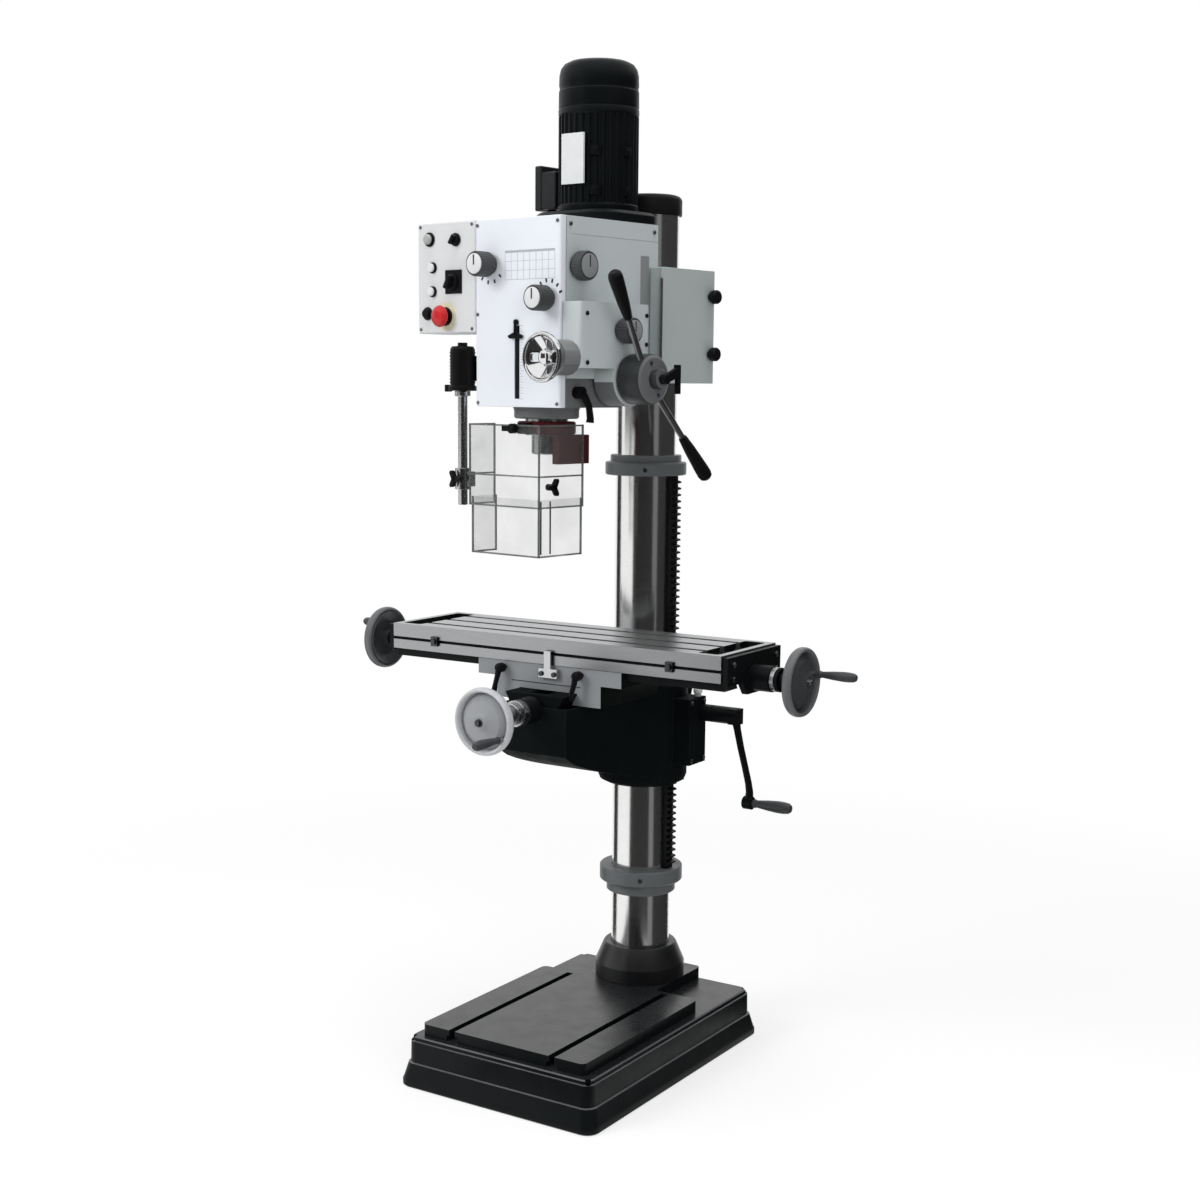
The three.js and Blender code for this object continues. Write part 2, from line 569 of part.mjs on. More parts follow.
function buildFoot() {
  const f = FOOT;
  const z = DECK_TOP + GAP;
  const inner = COLUMN.r + COL_GAP;
  const r = COLUMN.r + f.wall;
  const cone = COLUMN.r + f.coneWall;
  const top = z + f.coneHigh;
  return turned([[inner, z], [r, z], [r, z + f.high - f.edge], [r - f.edge, z + f.high], [cone, top - f.edge],
    [cone - f.edge, top], [inner, top], [inner, z]], 'z', [0, 0, 0], SEG_BORE);
}

function buildColumn() {
  const c = COLUMN;
  const z = DECK_TOP + GAP;
  return turned([[c.bore, z], [c.r, z], [c.r, COLUMN_TOP], [c.bore, COLUMN_TOP], [c.bore, z]], 'z',
      [0, 0, 0], SEG_BORE);
}

function buildCap() {
  const c = CAP;
  const z = COLUMN_TOP + GAP;
  const r = COLUMN.r + c.wall;
  const plug = COLUMN.bore - c.plugGap;
  return turned([[0, z - c.plug], [plug, z - c.plug], [plug, z], [r, z], [r, z + c.high - c.edge],
    [r - c.edgeIn, z + c.high], [0, z + c.high]], 'z', [0, 0, 0], SEG_L);
}

// A rack collar, with its neck below or above it.
function buildCollar(c, bottom, side) {
  const inner = COLUMN.r + COL_GAP;
  const r = COLUMN.r + c.wall;
  const neckR = COLUMN.r + c.neckWall;
  const top = bottom + c.high;
  const neck = side < 0 ? bottom - c.neckHigh : top + c.neckHigh;
  const profile = side < 0
    ? [[inner, neck], [neckR, neck], [neckR, bottom], [r, bottom], [r, top], [inner, top], [inner, neck]]
    : [[inner, bottom], [r, bottom], [r, top], [neckR, top], [neckR, neck], [inner, neck], [inner, bottom]];
  return turned(profile, 'z', [0, 0, 0], SEG_BORE);
}

// The rack swings round the column with the knee, between the two collars; its back follows the column.
function buildRack() {
  const pitch = Math.PI * GEAR_M;
  const z0 = COLLAR_LOW.bottom + COLLAR_LOW.high + GAP;
  const z1 = COLLAR_UP_Z - GAP;
  const { root, tip } = TOOTH_SHARES;
  const outline = [[z0, RACK_FOOT], [z0, RACK_ROOT]];
  const first = Math.ceil((z0 + RACK.endGap - LIFT_Z) / pitch - 0.5);
  const last = Math.floor((z1 - RACK.endGap - LIFT_Z) / pitch - 0.5);
  for (let i = first; i <= last; i++) {
    const c = LIFT_Z + (i + 0.5) * pitch;
    outline.push([c - root * pitch, RACK_ROOT], [c - tip * pitch, RACK_TIP], [c + tip * pitch, RACK_TIP],
        [c + root * pitch, RACK_ROOT]);
  }
  outline.push([z1, RACK_ROOT], [z1, RACK_FOOT]);
  return cut(plate('y', -RACK.half, RACK.half, outline), columnHole(z0, z1));
}

// Knee
function buildKnee() {
  const k = KNEE;
  const c = KNEE_CASE;
  const w = CLAMP_EAR;
  const low = k.top - k.frontHigh;
  const under = KNEE_CURVE_SHARES.map((t) => [k.front - t * k.front,
      low - k.fall * t ** KNEE_CURVE_POWER_SHARE]);
  const bottom = low - k.fall;
  const ringR = COLUMN.r + k.ringWall;
  const ringBottom = k.top - k.ringDrop;
  const caseTop = k.top - c.top;
  const caseBottom = k.top - c.bottom;
  let body = join(
    plate('x', -k.halfWidth, k.halfWidth, [[k.front, k.top], ...under, [k.back, bottom], [k.back, k.top]]),
    turned([[0, ringBottom], [ringR - k.ringEdgeIn, ringBottom], [ringR, ringBottom + k.ringEdge],
    [ringR, k.top],
      [0, k.top]], 'z', [0, 0, 0], SEG_L),
    box(LIFT_X - c.in, KNEE_CASE_X, c.front, c.back, caseBottom, caseTop),
    rod('x', KNEE_CASE_X - WELD, CRANK_BOSS_X, CRANK.boss, [LIFT.wheelY, CRANK_Z]),
    plate('y', WAY.front, WAY.back, [[k.top - WELD, -WAY.half], [WAY_TOP, -WAY.halfTop],
    [WAY_TOP, WAY.halfTop],
      [k.top - WELD, WAY.half]]),
    rod('y', CROSS.bossFront, k.front + WELD, CROSS.bossR, [0, CROSS_Z]),
    rod('z', k.top - OIL_CUP.sink, k.top + OIL_CUP.high, OIL_CUP.r, [OIL_CUP.x, OIL_CUP.y], SEG_S),
    box(-w.half, w.half, COLUMN.r + w.from, COLUMN.r + w.out, k.top - w.bottom, k.top - w.top));
  const hollowTop = k.top - k.hollowTop;
  const through = k.top - k.through;
  const inside = k.halfWidth - k.wall;
  const hollowFront = k.front + k.frontWall;
  body = cut(body,
    plate('x', -inside, inside, [[hollowFront, hollowTop], [hollowFront, through],
      [k.hollowEnd, through], [k.hollowEnd, hollowTop]]),
    box(-CHANNEL.half, CHANNEL.half, k.front + CHANNEL.front, CHANNEL.back, k.top - CHANNEL.deep,
    WAY_TOP + OVER),
    hole('y', CROSS.bossFront - OVER, k.front + CROSS.bossIn, CROSS.r, [0, CROSS_Z]),
    columnHole(through, WAY_TOP),
    box(RACK_FOOT - SPLIT, RACK_TIP + OVER, -RACK.half - LOOSE, RACK.half + LOOSE, through, WAY_TOP),
    rod('y', -RACK.half - LOOSE - OVER, RACK.half + LOOSE + OVER, LIFT_OUTER, [LIFT_X, LIFT_Z]));
  const wheelBay = LIFT.wheelHalf + LOOSE + OVER;
  const wormBay = LIFT_WORM.r + SPLIT;
  return cut(body,
    hole('y', -LIFT.shaftFront - LOOSE, LIFT.shaftBack + LOOSE, LIFT.shaftR, [LIFT_X, LIFT_Z]),
    rod('y', LIFT.wheelY - wheelBay, LIFT.wheelY + wheelBay, WORM_TEETH * WORM_M / 2 + SPLIT,
    [LIFT_X, LIFT_Z]),
    rod('x', LIFT_X - LIFT_WORM.start - SPLIT, KNEE_CASE_X - c.wall, wormBay, [LIFT.wheelY, CRANK_Z]),
    hole('x', KNEE_CASE_X - c.wall - OVER, CRANK_BOSS_X + OVER, CRANK.shaftR, [LIFT.wheelY, CRANK_Z]),
    hole('x', -w.half - OVER, w.half + OVER, w.boltR, [COLUMN.r + w.boltOut, k.top - w.boltZ]),
    box(-SPLIT, SPLIT, COLUMN.r - SPLIT, COLUMN.r + w.out + OVER, through, WAY_TOP));
}

function buildLiftPinion() {
  const spur = gearOutline(LIFT_TEETH, LIFT_R, GEAR_M, -Math.PI / 2);
  const wheel = gearOutline(WORM_TEETH, WORM_TEETH * WORM_M / 2, WORM_M, Math.PI / 2 + Math.PI / WORM_TEETH);
  return join(
    plate('y', -RACK.half, RACK.half, shift(spur, LIFT_Z, LIFT_X)),
    plate('y', LIFT.wheelY - LIFT.wheelHalf, LIFT.wheelY + LIFT.wheelHalf, shift(wheel, LIFT_Z, LIFT_X)),
    rod('y', -LIFT.shaftFront, LIFT.shaftBack, LIFT.shaftR, [LIFT_X, LIFT_Z], SEG_S));
}

function buildCrank() {
  const c = CRANK;
  const z = CRANK_Z;
  const y = LIFT.wheelY;
  const end = z - c.drop;
  const x = CRANK_FACE_X;
  const out = x + c.out;
  const shaft = KNEE_CASE_X - KNEE_CASE.wall;
  const arm = [[z + c.armTop, x - c.armIn], [z + c.armTop, x], [z - c.armIn, x + c.step],
      [end + 2 * c.eyeR, out + c.lean],
    [end - c.armNeck, out + c.eyeBack], [end - c.armNeck, out - c.eyeBack / 2],
    [end + 2 * c.eyeR, out - c.eyeBack / 2],
    [z - c.armIn, x - c.eyeFront], [z - c.eyeFront, x - c.armIn]];
  return join(
    rod('x', shaft - OVER, x - OVER, c.shaftR, [y, z], SEG_S),
    rod('x', LIFT_X - LIFT_WORM.start, shaft, LIFT_WORM.core, [y, z], SEG_S),
    worm('x', LIFT_X, WORM_TURNS_SHARE, LIFT_WORM.r, Math.PI * WORM_M, LIFT_WORM.root, [0, y, z]),
    rod('x', CRANK_BOSS_X + GAP, x, c.hubR, [y, z]),
    plate('y', y - c.armHalf, y + c.armHalf, arm),
    rod('x', out - c.eyeBack, out + c.eyeFront, c.eyeR, [y, end]),
    rod('x', out, out + c.eyeFront + c.gripHigh * GRIP_PIN_SHARE, c.pinR, [y, end], SEG_S));
}

function buildCrankGrip() {
  const c = CRANK;
  const x = CRANK_FACE_X + c.out + c.eyeFront + WELD;
  const z = CRANK_Z - c.drop;
  const bore = hole('x', x - OVER, x + c.gripHigh * GRIP_BORE_SHARE, c.pinR, [LIFT.wheelY, z]);
  return cut(grip('x', [x, LIFT.wheelY, z], c.gripHigh, 1, c.gripR), bore);
}

function buildKneeClamp() {
  const c = CLAMP_LEVER;
  const { boltR } = CLAMP_EAR;
  const boltY = COLUMN.r + CLAMP_EAR.boltOut;
  const boltZ = KNEE.top - CLAMP_EAR.boltZ;
  const at = [c.x, boltY];
  const pivot = [c.x, boltY, boltZ];
  const arm = join(
    rod('z', boltZ, boltZ + c.long, c.barR, at, SEG_S),
    rod('z', boltZ + c.knobFrom, boltZ + c.knobTo, c.knobR, at, SEG_S));
  return join(
    rod('x', -c.reach, c.reach, boltR, [boltY, boltZ], SEG_S),
    rod('x', c.hubFrom, c.hubTo, c.hubR, [boltY, boltZ], SEG_S),
    turn(arm, 'x', CLAMP_LEVER_ANGLE, pivot));
}

// Saddle
function buildSaddle() {
  const s = SADDLE;
  const r = RAIL;
  const n = CROSS_NUT;
  const top = SADDLE_TOP;
  const low = KNEE.top + GAP;
  const waySide = LOOSE;
  const nut = box(-n.half, n.half, n.front, n.back, KNEE.top - n.drop, SADDLE_Z);
  const land = [[r.innerFront + 2 * r.slope + GAP, top - WELD], [r.innerBack - 2 * r.slope - GAP, top - WELD],
    [r.innerBack - GAP - OVER, SADDLE_LIP], [r.innerFront + GAP + OVER, SADDLE_LIP]];
  let body = join(
    box(-s.half, s.half, s.front, s.back, SADDLE_Z, top),
    box(-s.lowHalf, s.lowHalf, s.front, s.back, low, SADDLE_Z + WELD),
    box(-s.half, s.half, s.front, s.front + s.lip, SADDLE_Z, SADDLE_LIP),
    plate('x', -s.half, s.half, land),
    box(-s.nutHalf, s.nutHalf, SCREW.y - s.nutDeep, SCREW.y + s.nutDeep, SADDLE_Z, SADDLE_Z + s.nutTop));
  body = join(cut(body, plate('y', s.front - OVER, s.back + OVER, [[low - OVER, -WAY.half - waySide],
    [WAY_TOP + waySide, -WAY.halfTop - waySide], [WAY_TOP + waySide, WAY.halfTop + waySide],
    [low - OVER, WAY.half + waySide]])), nut);
  for (const side of [-1, 1]) {
    body = cut(body, box(side * s.nutHalf, side * (s.half + OVER), SCREW.y - SCREW.nutBay,
        SCREW.y + SCREW.nutBay,
      top, SADDLE_LIP + OVER));
  }
  return cut(body,
    LOCK.x.map((x) => hole('y', s.front - OVER, s.front + s.lockDeep, LOCK.stud, [x, SADDLE_Z + LOCK.up])),
    hole('x', -s.half - OVER, s.half + OVER, SCREW.threadR, [SCREW.y, SCREW_Z]),
    hole('y', s.front - OVER, s.back + OVER, CROSS.threadR, [0, CROSS_Z]));
}

function buildCrossScrew() {
  const c = CROSS;
  const dialBack = c.bossFront - GAP;
  const dialFront = dialBack - c.dial;
  return join(
    rod('y', c.threadFrom, c.threadTo, c.threadR, [0, CROSS_Z], SEG_S),
    rod('y', c.end, c.threadFrom + OVER, c.r, [0, CROSS_Z], SEG_S),
    rod('y', dialFront, dialBack, c.dialR, [0, CROSS_Z]),
    rod('y', dialFront - c.nut, dialFront + WELD, c.nutR, [0, CROSS_Z]));
}

// A dished handwheel with its hub, crank pin and bore for the screw; hubEnd is where the hub stops.
function handwheel(axis, centre, r, side, hubEnd, pinAt) {
  const along = axis === 'x' ? centre[0] : centre[1];
  const across = axis === 'x' ? centre.slice(1) : [centre[0], centre[2]];
  const t = TABLE_WHEEL;
  const body = join(dishedWheel(axis, centre, r, t.hubR, side),
    rod(axis, along, hubEnd, t.hubR, across),
    rod(axis, along, along + side * t.pin, t.pinR, pinAt, SEG_S));
  return cut(body, rod(axis, hubEnd - side * OVER, along - side * WHEEL_HUB.hole, SCREW.r + GAP, across,
      SEG_S));
}

// The loose grip on a handwheel's pin.
function wheelGrip(axis, along, side, high, at) {
  const start = along + side * TABLE_WHEEL.grip;
  const centre = axis === 'x' ? [start, ...at] : [at[0], start, at[1]];
  const bore = hole(axis, start - side * OVER, start + side * (TABLE_WHEEL.pin - TABLE_WHEEL.grip + SPLIT),
      TABLE_WHEEL.pinR, at);
  return cut(grip(axis, centre, high, side, WHEEL_GRIP.r), bore);
}

const CROSS_PIN = [CROSS.gripX, CROSS_Z - CROSS.gripDrop];

function buildCrossWheel() {
  const hubEnd = CROSS.bossFront - 2 * GAP - CROSS.dial - CROSS.nut;
  return handwheel('y', [0, CROSS.wheelY, CROSS_Z], CROSS.wheelR, -1, hubEnd, CROSS_PIN);
}

function buildLock(x) {
  const k = LOCK;
  const y = SADDLE.front - k.standOff;
  const z = SADDLE_Z + k.up;
  const arm = [[z + k.top, x - k.half], [z + k.top, x + k.half - OVER], [z - k.lowIn, x + k.half / 2],
      [z - k.low, x - k.half / 3],
    [z - k.lowIn, x - k.half]];
  return join(
    rod('y', y - k.long, y, k.r, [x, z], SEG_S),
    plate('y', y - k.long, y - k.long + k.bar, arm),
    rod('y', y - OVER, SADDLE.front + k.studIn, k.stud, [x, z], SEG_S));
}

function buildStopBlock() {
  const s = STOP_BLOCK;
  const back = SADDLE.front - GAP;
  const front = back - s.thick;
  return join(
    box(s.x0, s.x1, front, back, SADDLE_Z + s.z0, SADDLE_Z + s.z1),
    box(s.postX0, s.postX1, front, SADDLE.front - s.postGap, SADDLE_Z + s.z1 - OVER, SADDLE_Z + s.postZ1));
}

// Table
function buildTable() {
  const t = TABLE;
  const r = RAIL;
  const h = TROUGH;
  const end = t.half + OVER;
  const rim = t.half - h.rim;
  const groove = TABLE_TOP - STOP_GROOVE.below;
  let body = join(
    box(-t.half, t.half, t.front, t.back, TABLE_Z, TABLE_TOP),
    plate('x', -t.half, t.half, [[r.front, RAIL_Z], [r.innerFront + r.slope, RAIL_Z],
    [r.innerFront, TABLE_Z + WELD],
      [r.front, TABLE_Z + WELD]]),
    plate('x', -t.half, t.half, [[r.innerBack - r.slope, RAIL_Z], [r.back, RAIL_Z], [r.back, TABLE_Z + WELD],
      [r.innerBack, TABLE_Z + WELD]]));
  for (const y of TSLOT.y) body = cut(body, tslot('x', -end, end, y, TABLE_TOP, TSLOT));
  for (const side of [-1, 1]) {
    const trough = box(side * (rim - h.wide), side * rim, h.front, h.back,
        TABLE_TOP - h.deep, TABLE_TOP + OVER);
    const wall = box(side * rim, side * t.half, h.front - h.endWall, h.back + h.endWall,
        TABLE_TOP - TSLOT.deep - WELD, TABLE_TOP);
    body = join(cut(body, trough), wall);
  }
  return cut(body,
    box(-end, end, t.front - OVER, t.front + STOP_GROOVE.deep, groove - STOP_GROOVE.half,
    groove + STOP_GROOVE.half),
    box(-end, end, SCREW.y - SCREW.bayHalf, SCREW.y + SCREW.bayHalf, TABLE_Z - OVER,
    TABLE_TOP - SCREW.bayDeep));
}

function buildTableScrew() {
  const s = SCREW;
  const at = [s.y, SCREW_Z];
  const dial = BEARING_X + DIAL.gap;
  const end = TABLE_WHEEL_X - TABLE_WHEEL.screwIn;
  const thread = TABLE.half - s.plainEnd;
  return join(
    rod('x', -thread, thread, s.threadR, at, SEG_S),
    rod('x', -end, end, s.r, at, SEG_S),
    [-1, 1].map((side) => rod('x', side * dial, side * (dial + DIAL.wide), DIAL.r, at)));
}

function buildBracket(side) {
  const b = BRACKET;
  const y = SCREW.y;
  const x0 = TABLE.half + GAP;
  const x1 = x0 + b.thick;
  const top = TABLE_TOP - b.top;
  const bottom = TABLE_TOP - b.bottom;
  const low = TABLE_TOP - b.low;
  const outline = [[b.front, top], [b.front, bottom], [y - b.wide, bottom], [y - b.narrow, low],
      [y + b.narrow, low],
    [y + b.wide, bottom], [b.back, bottom], [b.back, top]];
  const body = join(plate('x', x0, x1, outline), rod('x', x1 - WELD, BEARING_X, b.bearingR, [y, SCREW_Z]));
  const out = cut(body, hole('x', x0 - OVER, BEARING_X + OVER, SCREW.r, [y, SCREW_Z]));
  return side > 0 ? out : out.mirror([1, 0, 0]);
}

function pinPlace(side) {
  const [along, up] = side > 0 ? TABLE_PINS.right : TABLE_PINS.left;
  return [SCREW.y + along, SCREW_Z + up];
}

function buildTableWheel(side) {
  const hubEnd = side * (BEARING_X + DIAL.gap + DIAL.wide + WELD);
  const centre = [side * TABLE_WHEEL_X, SCREW.y, SCREW_Z];
  return handwheel('x', centre, TABLE_WHEEL.r, side, hubEnd, pinPlace(side));
}

// Head
function buildHeadCasing() {
  const h = HEAD;
  const w = h.wall;
  const c = CHIN;
  const k = CLAMP;
  const tube = QUILL.r + QUILL.guide;
  const earTo = COLUMN.r + k.earTo;
  let body = join(
    block(0, HEAD_TOP, -h.half, h.half, h.front, h.back, h.corner),
    block(CHIN_Z, WELD, -c.half, c.half, c.front, c.back, c.corner),
    rod('z', NOSE_Z, CHIN_Z + WELD, NOSE.r, [0, SPINDLE_Y], SEG_L),
    rod('z', k.bottom, k.top, COLUMN.r + k.wall, [0, 0], SEG_L),
    box(-COLUMN.r - k.wall, COLUMN.r + k.wall, h.back - WELD, 0, k.bottom, k.top),
    k.earZ.map((z) => box(-k.earHalf, k.earHalf, COLUMN.r + k.earFrom, earTo, z, z + k.earHigh)));
  body = cut(body,
    box(-h.half + w, h.half - w, h.front - OVER, h.back - w, SHELF.z1, HEAD_TOP - w),
    box(-h.half + w, h.half - w, h.front - OVER, h.back - w, w, SHELF.z0),
    box(-c.half + w, c.half - w, h.front - OVER, c.back - w, CHIN_Z + w, w + OVER));
  body = join(body,
    rod('z', CHIN_Z, SHELF.z1, tube, [0, SPINDLE_Y], SEG_L),
    box(-tube, tube, SPINDLE_Y - SHELF.lean, c.back - SHELF.end, CHIN_Z, -SHELF.drop),
    [-1, 1].map((side) => rod('x', side * FEED.bossFrom, side * h.half, FEED.bossR, [FEED_Y, FEED_Z])));
  return cut(body,
    rod('z', NOSE_Z - OVER, SHELF.z1 + OVER, QUILL.r + GAP, [0, SPINDLE_Y], SEG_L),
    rod('x', -FEED.chamberHalf, FEED.chamberHalf, LIFT_OUTER, [FEED_Y, FEED_Z]),
    hole('x', FEED.bore, h.half + OVER, FEED.shaftR, [FEED_Y, FEED_Z]),
    hole('z', SHELF.z0 - OVER, SHELF.z1 + OVER, LAY.r, [0, LAY.y]),
    rod('z', HEAD_TOP - w - OVER, HEAD_TOP + OVER, MOTOR.headBore, [0, MOTOR_Y]),
    columnHole(k.bottom, k.top),
    box(-k.split, k.split, COLUMN.r - OVER, earTo + OVER, k.bottom - OVER, k.top + OVER),
    hole('x', h.half - w - OVER, h.half + OVER, KNOB_FORM.stemR, [KNOBS.range.y, KNOBS.range.z]),
    depthSlot(SPINDLE_Y - QUILL.r - DEPTH_SLOT.deep, SPINDLE_Y - QUILL.r + OVER));
}

function depthSlot(y0, y1) {
  return box(-DEPTH_SLOT.half, DEPTH_SLOT.half, y0, y1, DEPTH_SLOT.bottom, DEPTH_SLOT.top);
}

function buildFrontPlate() {
  const p = PLATE;
  const x = HEAD.half;
  const y0 = PLATE_FACE;
  const y1 = HEAD.front - GAP;
  return cut(block(PLATE_Z, HEAD_TOP, -x, x, y0, y1, p.corner),
    box(-x + p.rim, x - p.rim, y0 + p.shell, y1 + OVER, PLATE_Z + p.rim, HEAD_TOP - p.rim),
    depthSlot(y0 - OVER, y1 + OVER),
    [KNOBS.left, KNOBS.right].map((k) => hole('y', y0 - OVER, y1 + OVER, KNOB_FORM.stemR, [k.x, k.z])));
}

function buildFeedCase() {
  const c = CASE;
  const f = FINE;
  const body = join(
    block(c.bottom, c.top, c.x0, c.x1, c.front, c.back, c.corner),
    rod('x', c.x0, c.x1, c.roundR, [FEED_Y, FEED_Z], SEG_L),
    rod('y', f.y + f.bossStart, c.front + OVER, f.bossR, [f.x, f.z]));
  return cut(body,
    box(c.x0 - OVER, c.x1 - c.wall, c.front + c.shell, c.back - c.shell, c.bottom + c.floor, c.top - c.shell),
    rod('x', c.x0 - OVER, c.x1 - c.wall, c.roundBore, [FEED_Y, FEED_Z]),
    hole('x', c.x0 - OVER, c.x1 + OVER, FEED.shaftR, [FEED_Y, FEED_Z]),
    hole('y', f.y, c.front + c.shell + OVER, f.shaftR, [f.x, f.z]),
    box(0, HEAD.half + GAP, PLATE_FACE - GAP, 0, FEED_Z - c.roundR - OVER, c.top + OVER),
    hole('x', c.x1 - c.wall - OVER, c.x1 + OVER, KNOB_FORM.stemR, [KNOBS.feed.y, KNOBS.feed.z]));
}

function leverTurn(body, extra) {
  const c = [LEVER.x, FEED_Y, FEED_Z];
  return turn(turn(body, 'y', LEVER_LEAN_ANGLE, c), 'x', LEVER_TURN_ANGLE + extra, c);
}

function buildFeedHub() {
  const spur = gearOutline(FEED_TEETH, FEED_R, GEAR_M, Math.PI);
  const d = DRUM;
  const socket = rod('z', FEED_Z + LEVER.start - GAP, FEED_Z + LEVER.socket, LEVER.barR + GAP,
      [LEVER.x, FEED_Y], SEG_S);
  const drum = turned([[0, d.x0], [d.r - d.edge, d.x0], [d.r, d.x0 + d.edge], [d.r, d.x1 - d.faceEdge],
      [d.r - d.faceEdge, d.x1],
    [d.bossR, d.x1], [d.bossR, d.bossX], [0, d.bossX]], 'x', [0, FEED_Y, FEED_Z], SEG_WHEEL);
  const body = join(
    plate('x', -FEED.gearHalf, FEED.gearHalf, shift(spur, FEED_Y, FEED_Z)),
    rod('x', FEED.shaftFrom, d.x0 + OVER, FEED.shaftR, [FEED_Y, FEED_Z], SEG_S),
    drum);
  return cut(body, leverTurn(socket, 0), leverTurn(socket, 180));
}

function buildFeedLever(extra) {
  const l = LEVER;
  const grips = [[0, l.grip], [l.barR, l.grip], [l.gripNeck, l.grip + l.gripRise],
      [l.gripR, l.tip - l.tipEdge - l.tipIn],
    [l.gripR, l.tip - l.tipIn], [l.gripNeck, l.tip], [0, l.tip]];
  return leverTurn(join(
    rod('z', FEED_Z + l.start, FEED_Z + l.grip + OVER, l.barR, [l.x, FEED_Y], SEG_S),
    turned(grips, 'z', [l.x, FEED_Y, FEED_Z])), extra);
}

function buildFineWheel() {
  const { x, y, z, r, shaftR, hubR, bossStart } = FINE;
  const w = FINE_WHEEL;
  const m = FINE_WORM;
  const mid = r / 2;
  const dish = turned([[0, -w.nutBack], [w.nutR, -w.nutBack], [w.neckR, -w.neckBack], [mid, w.web],
      [r - w.rim, -w.rimDeep],
    [r - w.lipIn, -w.lipBack], [r, 0], [r - w.lipFrontIn, w.lipFront], [r - w.rim, w.rimDeep],
    [mid, w.webFront],
    [w.hubFrontR, w.hubFront], [0, w.hubFront]], 'y', [x, y, z], SEG_WHEEL, -1);
  const ring = roundedRing(w.holeFrom, r - w.holeEnd, -w.holeHalf, w.holeHalf, w.holeCorner,
      1).map(([u, v]) => [v, u]);
  const slot = plate('y', y - w.through, y + w.through, shift(ring, z, x + w.holeOut));
  const holes = Array.from({ length: FINE_HOLES }, (_, i) => turn(slot, 'y', 360 * i / FINE_HOLES,
      [x, y, z]));
  return join(cut(dish, holes),
    rod('y', y, FEED_Y - bossStart, shaftR, [x, z], SEG_S),
    rod('y', y, y + bossStart - WELD, hubR, [x, z]),
    rod('y', FEED_Y - m.before, FEED_Y + m.after, m.core, [x, z], SEG_S),
    worm('y', FEED_Y, WORM_TURNS_SHARE, LIFT_WORM.r, Math.PI * m.m, LIFT_WORM.root, [x, 0, z]));
}

function buildWormWheel() {
  const m = FINE_WORM;
  const outline = gearOutline(WORM_TEETH, m.wheelR, m.m, Math.PI / 2 + Math.PI / WORM_TEETH);
  return cut(plate('x', FINE.x - m.wheelHalf, FINE.x + m.wheelHalf, shift(outline, FEED_Y, FEED_Z)),
    hole('x', FINE.x - m.wheelHalf - OVER, FINE.x + m.wheelHalf + OVER, FEED.shaftR, [FEED_Y, FEED_Z]));
}

function buildClutchLever() {
  const c = CLUTCH;
  const x = DRUM.bossX + GAP;
  const arm = [[-c.armHalf, c.armHalf], [c.armHalf, -c.armHalf], [c.armOut, c.armHalf], [c.armOut, c.armTop],
    [c.tailIn - c.armHalf / 2, c.armTop], [c.tailIn - c.armHalf / 2, c.armTop - c.armHalf]];
  const tail = [[c.tailIn, c.tailTop], [c.tailIn, -c.tailLow], [c.armOut, -c.tailLow], [c.armOut, c.tailTop]];
  return join(
    rod('x', x, x + c.thick, c.r, [FEED_Y, FEED_Z], SEG_S),
    [arm, tail].map((outline) => plate('x', x + c.from, x + c.to, shift(outline, FEED_Y, FEED_Z))));
}

// Quill, spindle and gear train
function buildQuill() {
  const q = QUILL;
  const y = SPINDLE_Y;
  const pitch = Math.PI * GEAR_M;
  const tip = y + q.r;
  const root = tip - (TOOTH_SHARES.up + TOOTH_SHARES.down) * GEAR_M;
  const { root: low, tip: high } = RACK_SPACE_SHARES;
  const last = Math.floor((q.top - FEED_Z) / pitch);
  let body = rod('z', q.bottom, q.top, q.r, [0, y], SEG_L);
  for (let i = q.rackFirst; i <= last; i++) {
    const c = FEED_Z + i * pitch;
    const [outEnd, inEnd] = i === last ? [q.top + OVER, q.top + OVER] : [c + high * pitch, c + low * pitch];
    const space = [[root, c - low * pitch], [tip + OVER, c - high * pitch], [tip + OVER, outEnd],
        [root, inEnd]];
    body = cut(body, plate('x', -q.rackHalf, q.rackHalf, space));
  }
  return cut(body, hole('z', q.bottom - OVER, q.top + OVER, q.bore, [0, y], SEG_M));
}

function buildSpindle() {
  const s = SPINDLE;
  const y = SPINDLE_Y;
  const foot = QUILL.bottom - s.noseHigh;
  const top = QUILL.top - s.topIn;
  const neckTop = QUILL.top - s.neckIn;
  const noseTop = QUILL.bottom - OVER;
  const collarTop = QUILL.bottom + s.collarHigh;
  const star = gearOutline(SPLINE_TEETH, SPLINE.r, SPLINE.m, 0, SPLINE_SHARES.tip, SPLINE_SHARES.tip);
  const profile = [[0, foot], [s.noseR - s.noseEdge, foot], [s.noseR, foot + s.noseEdge],
      [s.noseR, noseTop], [s.collarR, noseTop],
    [s.collarR, collarTop], [s.r, collarTop + s.noseEdge], [s.r, top - s.topHigh],
    [s.collarR, top - s.topHigh + OVER],
    [s.collarR, top], [s.neckR, neckTop], [0, neckTop]];
  const taperTop = QUILL.bottom + s.taper;
  return cut(
    join(turned(profile, 'z', [0, y, 0]), plate('z', neckTop - OVER, s.splineTop, shift(star, 0, y))),
    rod('z', foot - OVER, taperTop, s.taperR, [0, y], SEG_M, s.taperEndR),
    box(-s.tangHalf, s.tangHalf, y - s.tangThick, y + s.tangThick, taperTop - 2 * OVER, taperTop + s.tang));
}

